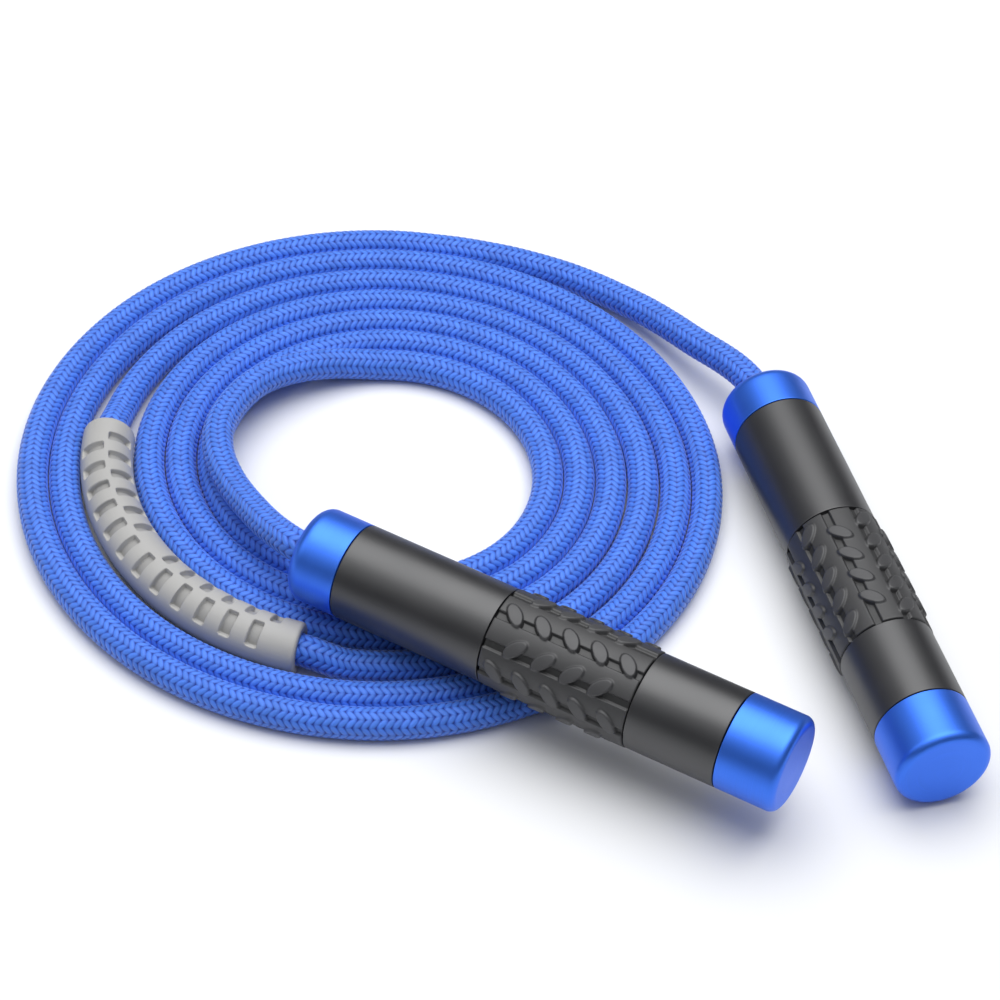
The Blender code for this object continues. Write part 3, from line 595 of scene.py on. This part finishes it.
def sleeve_grid(look):
    """Stations along the sleeve, as shares of its length, and angles round it.

    Both are even, with more of them at the edges of the slots, where the wall turns sharply.
    """
    length = sleeve_length()
    beside = np.array((-0.0002, 0.00004, 0.00022, 0.0005))
    places = np.concatenate([places for _, places in slot_rows()])
    edges = look.slot_width / 2 - beside
    share = [np.linspace(0.0, 1.0, 200)]
    share += [(places[:, None] + side * edges / length).reshape(-1) for side in (-1, 1)]
    share.append(np.array((0.0003, 0.0008, 0.0016, 0.0028, 0.0045)))
    share.append(1 - share[-1])
    ends = look.slot_reach / 2 - np.append(beside, (0.0008, 0.0012))
    around = [even_angles(96)]
    for row, end in ((-1, -1), (-1, 1), (1, -1), (1, 1)):
        around.append((row * look.row_angle + end * ends / SLEEVE_RADIUS) % (2 * np.pi))
    return np.unique(np.concatenate(share)), np.unique(np.concatenate(around))


def sleeve_slots(along, around, look):
    """How much of a slot is cut at each place on the sleeve, from 0 to 1.

    along is the share of the sleeve's length and around the angle from its top, positive on the
    coil's outer side. A slot is a rounded box: it is cut where the distance to the box's own
    middle lines, less half its size and plus its corner's radius, falls under that radius.
    """
    length = sleeve_length()
    corner = 0.2 * look.slot_width
    cut = np.zeros(np.broadcast(along, around).shape)
    for side, places in slot_rows():
        across = np.abs(around - side * look.row_angle) * SLEEVE_RADIUS
        for place in places:
            off = np.abs(along - place) * length
            far = np.hypot(np.maximum(off - look.slot_width / 2 + corner, 0.0),
                           np.maximum(across - look.slot_reach / 2 + corner, 0.0))
            wall = smoothstep(corner - SLOT_SLOPE[0], corner + SLOT_SLOPE[1], far)
            cut = np.maximum(cut, 1 - wall)
    return cut


def wear_sleeve(look):
    """The sleeve's wall carried along the coil: outwards from the bore, rounded at both ends.

    Point (row, angle) = line(turn) + r (cos angle up + sin angle outwards), where r is the sleeve's
    radius less the slots' depth on the outside, and the bore's radius on the way back inside.
    """
    share, around = sleeve_grid(look)
    turn = SLEEVE_TURNS[0] + share * (SLEEVE_TURNS[1] - SLEEVE_TURNS[0])
    length = lengths_along(coil_line(turn))[-1]
    fall = round_off(np.minimum(share, 1 - share) * length, SLEEVE_RIM)
    from_top = wrapped(around)
    cut = sleeve_slots(share[:, None], from_top[None, :], look)
    outside = SLEEVE_RADIUS - fall[:, None] - look.slot_depth * cut
    back = np.linspace(1.0, 0.0, BORE_ROWS)
    inside = np.full((len(back), len(around)), SLEEVE_BORE)
    radius = np.concatenate([outside, inside])
    turns = np.concatenate([turn, SLEEVE_TURNS[0] + back * (SLEEVE_TURNS[1] - SLEEVE_TURNS[0])])
    angle = np.radians(COIL_START + 360.0 * turns)
    outwards = np.stack([np.cos(angle), np.sin(angle), 0 * angle], axis=1)
    flat = coil_radius(turns)[:, None] * outwards + COIL_CENTRE
    centre = flat + np.array((0.0, 0.0, SLEEVE_RADIUS))
    points = centre[:, None] + radius[..., None] * (
        np.cos(around)[:, None] * np.array((0.0, 0.0, 1.0))
        + np.sin(around)[:, None] * outwards[:, None])
    # relief is 1 on the outer face and falls to 0 in the slots; the sleeve's finish darkens the
    # slots with it as painted shade.
    relief = np.concatenate([1 - cut, np.ones((len(back), len(around)))])
    quads = grid_faces(len(turns), len(around), closed=True)
    return surface("slotted_sleeve", points.reshape(-1, 3), quads, relief=relief)


def grip_relief(angle, station, middle, radius, roll, look):
    """Height of the grip over its strips at each place: up for pads, down for grooves.

    Each pad is an ellipse that leans one way or the other by row, with a soft edge. A groove runs
    beside each row from end to end. A pad stands over a groove that it covers.
    """
    pads = np.zeros(np.broadcast(angle, station).shape)
    groove = np.zeros(pads.shape)
    for row in range(GRIP_ROWS):
        row_angle = math.radians(roll + 360.0 / GRIP_ROWS * row)
        across = radius * wrapped(angle - row_angle)
        beside = np.abs(radius * wrapped(angle - row_angle - look.groove_shift))
        edge = look.groove_width / 2
        groove = np.maximum(groove, 1 - smoothstep(edge - 0.0002, edge + 0.0002, beside))
        lean = look.pad_lean if row % 2 == 0 else -look.pad_lean
        count = PAD_COUNTS[row % 2]
        for index in range(count):
            along = station - middle - (index - (count - 1) / 2) * look.pad_spacing
            long = across * math.cos(lean) + along * math.sin(lean)
            wide = along * math.cos(lean) - across * math.sin(lean)
            far = np.sqrt((2 * long / look.pad_length) ** 2 + (2 * wide / look.pad_width) ** 2)
            outside = (far - 1) * look.pad_width / 2
            pads = np.maximum(pads, 1 - smoothstep(-PAD_SLOPE, 0.00008, outside))
    strip = -look.groove_depth * groove
    raised = PAD_RISE - STRIP_RISE
    return strip + (raised - strip) * pads, pads, groove


def rubber_grip(label, look):
    """The grip's outer face over (angle, station) with its pads and grooves, and its bore."""
    start, end, bore, _ = measured("rubber_grip", label)
    barrel = measured("handle_tube", label)[3]
    strip = barrel + STRIP_RISE
    angle = even_angles(400)
    station = np.linspace(start, end, 200)
    height, pads, groove = grip_relief(
        angle[None, :], station[:, None], (start + end) / 2, strip, GRIP_ROLLS[label], look)
    fall = round_off(np.minimum(station - start, end - station), GRIP_RIM)
    outside = strip + height - fall[:, None]
    radius = np.concatenate([outside, np.full((3, len(angle)), bore)])
    stations = np.concatenate([station, [end, (start + end) / 2, start]])
    # relief is 1 on the pads, 0.5 on the strips and 0 in the grooves; the rubber finish paints
    # shade in the grooves and light on the pads from it.
    relief = np.concatenate([0.5 + 0.5 * pads - 0.5 * groove * (1 - pads),
                             np.full((3, len(angle)), 0.5)])
    points = on_handle(label, radius, stations[:, None], angle)
    quads = grid_faces(len(stations), len(angle), closed=True)
    return surface(f"grip_{label}", points, quads, relief=relief)


# ---------------------------------------------------------------- turned pieces


def front_cap_profile(label, look):
    """The cap's face with its large rounding, its skirt, its spigot and the bearing's pocket."""
    _, spigot_end, bore, outer = measured("front_cap", label)
    race_start, _, _, race = measured("bearing_outer_race", label)
    ring_start, ring_end, _, ring = measured("bearing_retaining_ring", label)
    seam = measured("handle_tube", label)[0] - GAP
    pocket = race + GAP
    spigot = pocket + SPIGOT_WALL
    small = look.seam
    return rounded([
        (spigot, spigot_end, small),
        (spigot, seam, 0),
        (outer, seam, small),
        (outer, 0.0, look.front_rounding),
        (bore, 0.0, small),
        (bore, race_start - GAP, 0),
        (pocket, race_start - GAP, 0),
        (pocket, ring_start - GAP, 0),
        (ring + GAP, ring_start - GAP, 0),
        (ring + GAP, ring_end + GAP, 0),
        (pocket, ring_end + GAP, 0),
        (pocket, spigot_end, small),
    ], steps=10)


def barrel_profile(label, look):
    """The tube from cap to cap, with the waist that the grip sits in."""
    front, rear, _, outer = measured("handle_tube", label)
    grip_start, grip_end, grip_bore, _ = measured("rubber_grip", label)
    spigot_end = measured("front_cap", label)[1]
    pocket = measured("bearing_outer_race", label)[3] + GAP
    shoulder_end = measured("front_damper", label)[0] - GAP
    damper = measured("front_damper", label)[3]
    narrow = measured("handle_tube", label)[2]
    mouth = pocket + SPIGOT_WALL + GAP
    bore = damper + 2 * GAP
    waist = grip_bore - GAP
    small = look.seam
    return rounded([
        (outer, rear, small),
        (outer, grip_end + GAP, small),
        (waist, grip_end + GAP, 0),
        (waist, grip_start - GAP, 0),
        (outer, grip_start - GAP, small),
        (outer, front, small),
        (mouth, front, 0),
        (mouth, spigot_end + GAP, 0),
        (narrow, spigot_end + GAP, 0),
        (narrow, shoulder_end, 0),
        (bore, shoulder_end, 0),
        (bore, rear, 0),
    ])


def end_cap_profile(label, look):
    """The butt cap: a flat end with a rounded edge, and the spigot that screws into the tube."""
    spigot_start, end, _, outer = measured("end_cap", label)
    seam = measured("handle_tube", label)[1] + GAP
    ring_start, ring_end, ring_bore, ring = measured("end_cap_o_ring", label)
    spigot = ring
    floor = ring_bore - GAP
    hollow = spigot - END_SPIGOT_WALL
    inner_face = end - END_WALL
    return rounded([
        (AXIS_HOLE, end, 0),
        (outer, end, look.end_rounding),
        (outer, seam, look.seam),
        (spigot, seam, 0),
        (spigot, ring_end + GAP, 0),
        (floor, ring_end + GAP, 0),
        (floor, ring_start - GAP, 0),
        (spigot, ring_start - GAP, 0),
        (spigot, spigot_start, look.seam),
        (hollow, spigot_start, look.seam),
        (hollow, inner_face, 0),
        (AXIS_HOLE, inner_face, 0),
    ], steps=10)


def collar_profile(label, look):
    """The bright ring in front of the cap, with a rounded front edge."""
    front, back, bore, outer = measured("rope_exit_collar", label)
    edge = (outer - bore) * 0.4
    return rounded([
        (outer, back, 0.00008), (outer, front, edge), (bore, front, 0.0001), (bore, back, 0.00008),
    ])


def spindle_profile(label, look):
    """The tube that the rope runs through, with its flange behind the bearing."""
    nose, flange_end, bore, flange = measured("spindle", label)
    flange_start = measured("bearing_inner_race", label)[1] + GAP
    tube = measured("bearing_inner_race", label)[2] - GAP
    edge = (tube - bore) * 0.35
    return rounded([
        (flange, flange_end, 0.0002), (flange, flange_start, 0.0002), (tube, flange_start, 0),
        (tube, nose, edge), (bore, nose, edge), (bore, flange_end, 0.0001),
    ])


# ---------------------------------------------------------------- finishes


class Finish:
    """A material's nodes, put together one call at a time."""

    def __init__(self, name):
        self.material = bpy.data.materials.new(name)
        self.material.use_nodes = True
        self.tree = self.material.node_tree
        self.shader = self.tree.nodes["Principled BSDF"]

    def node(self, kind, *inputs, **settings):
        """A node with its settings, and its inputs set to a value or linked to a socket."""
        made = self.tree.nodes.new(kind)
        for key, value in settings.items():
            setattr(made, key, value)
        for index, value in enumerate(inputs):
            self.put(made.inputs[index], value)
        return made

    def put(self, socket, value):
        if isinstance(value, bpy.types.NodeSocket):
            self.tree.links.new(value, socket)
        else:
            socket.default_value = value

    def math(self, operation, *inputs):
        return self.node("ShaderNodeMath", *inputs, operation=operation).outputs[0]

    def place(self):
        return self.node("ShaderNodeTexCoord").outputs["Object"]

    def uv(self):
        """The u and v of the piece's own map."""
        parts = self.node("ShaderNodeSeparateXYZ", self.node("ShaderNodeUVMap").outputs[0])
        return parts.outputs[0], parts.outputs[1]

    def noise(self, vector, scale, detail=4.0, roughness=0.5):
        made = self.node("ShaderNodeTexNoise")
        for name, value in (("Vector", vector), ("Scale", scale), ("Detail", detail),
                            ("Roughness", roughness)):
            self.put(made.inputs[name], value)
        return made.outputs[0]

    def ramp(self, factor, *stops):
        """Colours at places along a ramp: (place, colour)."""
        made = self.node("ShaderNodeValToRGB", factor)
        band = made.color_ramp.elements
        while len(band) < len(stops):
            band.new(0.5)
        for element, (place, colour) in zip(band, stops):
            element.position = place
            element.color = (*colour, 1.0)
        return made.outputs[0]

    def scaled(self, colour, low, high, factor):
        """The colour times a number that runs from low to high with the factor."""
        made = self.node("ShaderNodeVectorMath", colour, operation="SCALE")
        self.put(made.inputs["Scale"], self.between(low, high, factor))
        return made.outputs[0]

    def between(self, low, high, factor):
        return self.node("ShaderNodeMapRange", factor, 0.0, 1.0, low, high).outputs[0]

    def bump(self, height, distance, strength=1.0):
        made = self.node("ShaderNodeBump")
        self.put(made.inputs["Height"], height)
        made.inputs["Distance"].default_value = distance
        made.inputs["Strength"].default_value = strength
        self.put(self.shader.inputs["Normal"], made.outputs[0])

    def done(self, **sockets):
        for name, value in sockets.items():
            self.put(self.shader.inputs[name.replace("_", " ")], value)
        return self.material


def braid_finish(look):
    """Yarn with painted shade: bright on a stitch's back, darkened by painted shade on its flanks
    and in the gaps, with fine filaments along it.
    """
    finish = Finish("braided_yarn")
    calculate = finish.math
    u, v = finish.uv()
    triangle = calculate("PINGPONG", u, 1.0)
    zigzag = calculate("MULTIPLY", calculate("SUBTRACT", triangle, 0.5), look.slant)
    phase = calculate("SUBTRACT", v, zigzag)
    back = calculate("ABSOLUTE", calculate("SINE", calculate("MULTIPLY", phase, math.pi)))
    gap = calculate("SUBTRACT", 1.0, calculate("POWER", back, 0.6))
    middle = calculate("ABSOLUTE", calculate("SINE", calculate("MULTIPLY", u, math.pi)))
    end = calculate("SUBTRACT", 1.0, calculate("POWER", middle, 0.8))
    depth = calculate("MULTIPLY_ADD", end, 1 - GAP_SHALLOW, GAP_SHALLOW)
    fall = calculate("MULTIPLY", calculate("MULTIPLY", end, back), END_FALL)
    height = calculate("SUBTRACT", 1.0, calculate("MULTIPLY_ADD", gap, depth, fall))
    stitch = finish.node("ShaderNodeCombineXYZ", calculate("FLOOR", u),
                         calculate("FLOOR", phase)).outputs[0]
    chance = finish.node("ShaderNodeTexWhiteNoise", stitch).outputs[0]
    patch = finish.noise(finish.place(), 90.0, 3.0)
    patch = calculate("MULTIPLY_ADD", chance, 0.45, calculate("MULTIPLY", patch, 0.55))
    fluff = finish.noise(finish.place(), 2600.0, 2.0)
    filament = calculate("SINE", calculate("MULTIPLY", phase, 2 * math.pi * 5))
    mixed = calculate("MULTIPLY_ADD", fluff, 0.22, calculate("SUBTRACT", height, 0.11))
    # Painted shade: the ramp runs from the stitch colour on a stitch's back down to the flank and
    # gap colours where the stitch falls away.
    colour = finish.ramp(mixed, (0.12, look.hollow), (0.50, look.flank_shade), (0.88, look.crest))
    colour = finish.scaled(colour, 0.78, 1.2, patch)
    relief = calculate("MULTIPLY_ADD", filament, 0.05, height)
    relief = calculate("MULTIPLY_ADD", fluff, 0.15, relief)
    finish.bump(relief, 0.00035, 0.8)
    return finish.done(Base_Color=colour, Roughness=finish.between(0.62, 0.48, height),
                       Sheen_Weight=0.25, Sheen_Roughness=0.4, Specular_IOR_Level=0.35)


def sleeve_finish(look):
    """Moulded plastic with a fine grain, faint blotches, and painted shade in its slots."""
    finish = Finish("moulded_sleeve_plastic")
    place = finish.place()
    blotch = finish.noise(place, 60.0, 4.0)
    grain = finish.noise(place, 3200.0, 3.0)
    relief = finish.node("ShaderNodeAttribute", attribute_name="relief").outputs["Fac"]
    colour = finish.scaled(tuple(look.colour), 0.94, 1.05, blotch)
    # Painted shade: the plastic is darkened to 0.78 of its colour inside the slots.
    colour = finish.scaled(colour, 0.78, 1.0, relief)
    finish.bump(grain, 0.00004, 0.6)
    return finish.done(Base_Color=colour, Roughness=finish.between(0.42, 0.6, blotch),
                       Specular_IOR_Level=0.4)


def anodised_finish(look):
    """Blue dyed metal with the fine rings that turning leaves, and faint handling marks."""
    finish = Finish("blue_anodised_metal")
    u, v = finish.uv()
    rings = finish.node("ShaderNodeCombineXYZ", finish.math("MULTIPLY", u, 3.0),
                        finish.math("MULTIPLY", v, 9000.0)).outputs[0]
    ring = finish.noise(rings, 1.0, 2.0)
    smudge = finish.noise(finish.place(), 120.0, 5.0, 0.6)
    colour = finish.scaled(tuple(look.cap_colour), 0.90, 1.10, ring)
    finish.bump(ring, 0.00001, 0.35)
    return finish.done(Base_Color=colour, Roughness=finish.between(0.38, 0.48, smudge),
                       Metallic=0.85)


def coat_finish(look):
    """Black satin coat with a faint orange-peel and smudges."""
    finish = Finish("black_satin_coat")
    place = finish.place()
    peel = finish.noise(place, 1500.0, 2.0)
    smudge = finish.noise(place, 70.0, 5.0, 0.6)
    colour = finish.scaled(tuple(look.barrel_colour), 0.8, 1.25, smudge)
    finish.bump(peel, 0.00001, 0.3)
    return finish.done(Base_Color=colour, Roughness=finish.between(0.36, 0.46, smudge),
                       Specular_IOR_Level=1.0)


def rubber_finish(look):
    """Matt rubber, with painted shade in its grooves and painted light on top of its pads."""
    finish = Finish("grip_rubber")
    place = finish.place()
    grain = finish.noise(place, 2400.0, 3.0)
    dust = finish.noise(place, 150.0, 5.0, 0.6)
    relief = finish.node("ShaderNodeAttribute", attribute_name="relief").outputs["Fac"]
    colour = finish.scaled(tuple(look.rubber_colour), 0.85, 1.2, dust)
    # Painted shade in the grooves and painted light on the pads: the colour runs from 0.35 to 1.35
    # of itself with the relief.
    colour = finish.scaled(colour, 0.35, 1.35, relief)
    finish.bump(grain, 0.00004, 0.5)
    return finish.done(Base_Color=colour, Roughness=finish.between(0.46, 0.62, dust),
                       Specular_IOR_Level=0.8)


def plain_finish(colour, metallic, rough, scale, depth):
    """A simple piece's finish: its colour and roughness vary with a noise of this scale, and its
    fine grain has this depth."""
    finish = Finish("plain")
    place = finish.place()
    patch = finish.noise(place, scale, 4.0)
    grain = finish.noise(place, scale * 12, 2.0)
    finish.bump(grain, depth, 0.4)
    return finish.done(Base_Color=finish.scaled(colour, 0.85, 1.12, patch),
                       Roughness=finish.between(rough * 0.8, rough * 1.25, patch),
                       Metallic=metallic)


def finish_of(slot):
    """The finish of one of the record's material slots, made once."""
    handles = bpy.context.scene.jump_rope_handles
    makers = {
        "rope_fibre": lambda: braid_finish(bpy.context.scene.jump_rope_braid),
        "sleeve_plastic": lambda: sleeve_finish(bpy.context.scene.jump_rope_sleeve),
        "blue_anodised": lambda: anodised_finish(handles),
        "black_coat": lambda: coat_finish(handles),
        "grip_rubber": lambda: rubber_finish(handles),
        "polished_steel": lambda: plain_finish((0.82, 0.82, 0.84), 1.0, 0.12, 300.0, 0.000005),
        "plain_steel": lambda: plain_finish((0.46, 0.46, 0.48), 1.0, 0.36, 400.0, 0.00001),
        "cage_plastic": lambda: plain_finish((0.72, 0.68, 0.58), 0.0, 0.45, 500.0, 0.00001),
        "damper_foam": lambda: plain_finish((0.05, 0.05, 0.052), 0.0, 0.8, 900.0, 0.0001),
    }
    name = f"jump_rope_{slot}"
    known = bpy.data.materials.get(name)
    if known is None:
        known = makers[slot]()
        known.name = name
    return known


# ---------------------------------------------------------------- operators


def make_floor(look):
    half = look.floor_size / 2
    corners = [(-half, -half, 0.0), (half, -half, 0.0), (half, half, 0.0), (-half, half, 0.0)]
    mesh = bpy.data.meshes.new("floor")
    mesh.from_pydata(corners, [], [(0, 1, 2, 3)])
    floor = bpy.data.objects.new("floor", mesh)
    bpy.context.scene.collection.objects.link(floor)
    finish = Finish("pale_floor")
    shade = finish.noise(finish.place(), 1.5, 2.0)
    paper = finish.scaled((0.82, 0.825, 0.84), 0.99, 1.01, shade)
    mesh.materials.append(
        finish.done(Base_Color=paper, Roughness=0.9, Specular_IOR_Level=0.1))


def make_studio(look):
    """Light from all round: dim walls up to a slope of 0.40, and full light above one of 0.95."""
    world = bpy.data.worlds.new("studio")
    world.use_nodes = True
    tree = world.node_tree
    sky = tree.nodes["Background"]
    direction = tree.nodes.new("ShaderNodeTexCoord")
    height = tree.nodes.new("ShaderNodeSeparateXYZ")
    strength = tree.nodes.new("ShaderNodeMapRange")
    strength.interpolation_type = "SMOOTHSTEP"
    for socket, value in (
        ("From Min", 0.40), ("From Max", 0.95), ("To Min", look.wall), ("To Max", look.sky),
    ):
        strength.inputs[socket].default_value = value
    tree.links.new(direction.outputs["Generated"], height.inputs[0])
    tree.links.new(height.outputs["Z"], strength.inputs["Value"])
    tree.links.new(strength.outputs[0], sky.inputs["Strength"])
    sky.inputs["Color"].default_value = (0.95, 0.97, 1.0, 1.0)
    bpy.context.scene.world = world
    bpy.context.scene.view_settings.view_transform = "Standard"


def make_light(name, place, size, power):
    """A round light that faces the middle of the object, unseen by the camera."""
    data = bpy.data.lights.new(name, "AREA")
    data.shape = "DISK"
    data.size = size
    data.energy = power
    light = bpy.data.objects.new(name, data)
    light.location = place
    middle = Vector((-0.02, 0.0, 0.0))
    light.rotation_euler = (middle - Vector(place)).to_track_quat("-Z", "Y").to_euler()
    light.visible_camera = False
    bpy.context.scene.collection.objects.link(light)


def make_camera():
    data = bpy.data.cameras.new("camera")
    data.lens = CAMERA_LENS
    data.sensor_width = CAMERA_SENSOR
    camera = bpy.data.objects.new("camera", data)
    turn = Matrix.Rotation(math.radians(90.0 - CAMERA_TILT), 4, "X")
    roll = Matrix.Rotation(math.radians(CAMERA_ROLL), 4, "Z")
    camera.matrix_world = Matrix.Translation(CAMERA_PLACE) @ turn @ roll
    bpy.context.scene.collection.objects.link(camera)
    bpy.context.scene.camera = camera


class JUMPROPE_OT_stage(bpy.types.Operator):
    """Make the floor, the lights and the camera"""

    bl_idname = "jump_rope.stage"
    bl_label = "Stage"

    def execute(self, context):
        look = context.scene.jump_rope_stage
        make_floor(look)
        make_studio(look)
        make_light("overhead_light", (0.0, 0.25, 1.2), 1.6, look.overhead)
        make_light("side_light", (-1.2, -0.1, 0.8), 0.8, look.side)
        make_camera()
        return {"FINISHED"}


class JUMPROPE_OT_rope(bpy.types.Operator):
    """Make the braided rope in two halves that meet inside the sleeve"""

    bl_idname = "jump_rope.rope"
    bl_label = "Rope"

    def execute(self, context):
        look = context.scene.jump_rope_braid
        for label, line in rope_halves().items():
            half = rope_half(label, line, look)
            finished(half, "rope", "rope_fibre", "rope_coil", f"rope_tail_{label}",
                     "rope_under_sleeve")
        return {"FINISHED"}


class JUMPROPE_OT_sleeve(bpy.types.Operator):
    """Make the slotted wear sleeve"""

    bl_idname = "jump_rope.sleeve"
    bl_label = "Wear sleeve"

    def execute(self, context):
        sleeve = wear_sleeve(context.scene.jump_rope_sleeve)
        finished(sleeve, "rope", "sleeve_plastic", "wear_sleeve")
        return {"FINISHED"}


def make_turned(body, slot, steps, *pieces):
    """Turns pieces for both handles, each given by its name, its CAD node and its profile.

    body is the body that they ride on, where {} stands for the handle's letter.
    """
    look = bpy.context.scene.jump_rope_handles
    for label in HANDLES:
        for name, node, profile in pieces:
            made = turned(f"{name}_{label}", label, profile(label, look), steps)
            finished(made, body.format(label), slot, f"{node}_{label}")


class JUMPROPE_OT_caps(bpy.types.Operator):
    """Make the blue caps at both ends of each handle"""

    bl_idname = "jump_rope.caps"
    bl_label = "Blue caps"

    def execute(self, context):
        make_turned("handle_{}", "blue_anodised", HANDLE_STEPS,
                    ("nose_cap", "front_cap", front_cap_profile),
                    ("butt_cap", "end_cap", end_cap_profile))
        return {"FINISHED"}


class JUMPROPE_OT_barrels(bpy.types.Operator):
    """Make the black barrel of each handle"""

    bl_idname = "jump_rope.barrels"
    bl_label = "Black barrels"

    def execute(self, context):
        make_turned("handle_{}", "black_coat", HANDLE_STEPS,
                    ("barrel", "handle_tube", barrel_profile))
        return {"FINISHED"}


class JUMPROPE_OT_grips(bpy.types.Operator):
    """Make the rubber grip of each handle"""

    bl_idname = "jump_rope.grips"
    bl_label = "Rubber grips"

    def execute(self, context):
        look = context.scene.jump_rope_handles
        for label in HANDLES:
            grip = rubber_grip(label, look)
            finished(grip, f"handle_{label}", "grip_rubber", f"rubber_grip_{label}")
        return {"FINISHED"}


class JUMPROPE_OT_exits(bpy.types.Operator):
    """Make the bright ring and the spindle where the rope leaves each handle"""

    bl_idname = "jump_rope.exits"
    bl_label = "Rope exits"

    def execute(self, context):
        make_turned("rope", "polished_steel", EXIT_STEPS,
                    ("bright_ring", "rope_exit_collar", collar_profile),
                    ("rope_spindle", "spindle", spindle_profile))
        return {"FINISHED"}


class JUMPROPE_OT_inner_parts(bpy.types.Operator):
    """Give the bearings, weights and other inner pieces their finishes"""

    bl_idname = "jump_rope.inner_parts"
    bl_label = "Inner parts"

    def execute(self, context):
        for part in FRAME["record"]["subparts"]:
            node = FRAME["nodes"][part["node"]]
            if not node.hide_render:
                node.material_slots[0].material = finish_of(part["material_slot"])
        return {"FINISHED"}


class JUMPROPE_PT_panel(bpy.types.Panel):
    """Lists the jump rope's pieces"""

    bl_idname = "JUMPROPE_PT_panel"
    bl_label = "Jump Rope"
    bl_space_type = "VIEW_3D"
    bl_region_type = "UI"
    bl_category = "Jump Rope"

    def draw(self, context):
        for name, look in LOOKS.items():
            box = self.layout.box()
            for key in look.__annotations__:
                box.prop(getattr(context.scene, name), key)
        for operator in OPERATORS:
            self.layout.operator(operator.bl_idname)


OPERATORS = (
    JUMPROPE_OT_stage,
    JUMPROPE_OT_rope,
    JUMPROPE_OT_sleeve,
    JUMPROPE_OT_caps,
    JUMPROPE_OT_barrels,
    JUMPROPE_OT_grips,
    JUMPROPE_OT_exits,
    JUMPROPE_OT_inner_parts,
)


def register():
    for cls in (*LOOKS.values(), *OPERATORS, JUMPROPE_PT_panel):
        bpy.utils.register_class(cls)
    for name, look in LOOKS.items():
        setattr(bpy.types.Scene, name, bpy.props.PointerProperty(type=look))


def unregister():
    for name in LOOKS:
        delattr(bpy.types.Scene, name)
    for cls in (JUMPROPE_PT_panel, *reversed(OPERATORS), *reversed(LOOKS.values())):
        bpy.utils.unregister_class(cls)


def main():
    register()
    bpy.ops.jump_rope.stage()
    bpy.ops.jump_rope.rope()
    bpy.ops.jump_rope.sleeve()
    bpy.ops.jump_rope.caps()
    bpy.ops.jump_rope.barrels()
    bpy.ops.jump_rope.grips()
    bpy.ops.jump_rope.exits()
    bpy.ops.jump_rope.inner_parts()


if __name__ == "__main__":
    main()
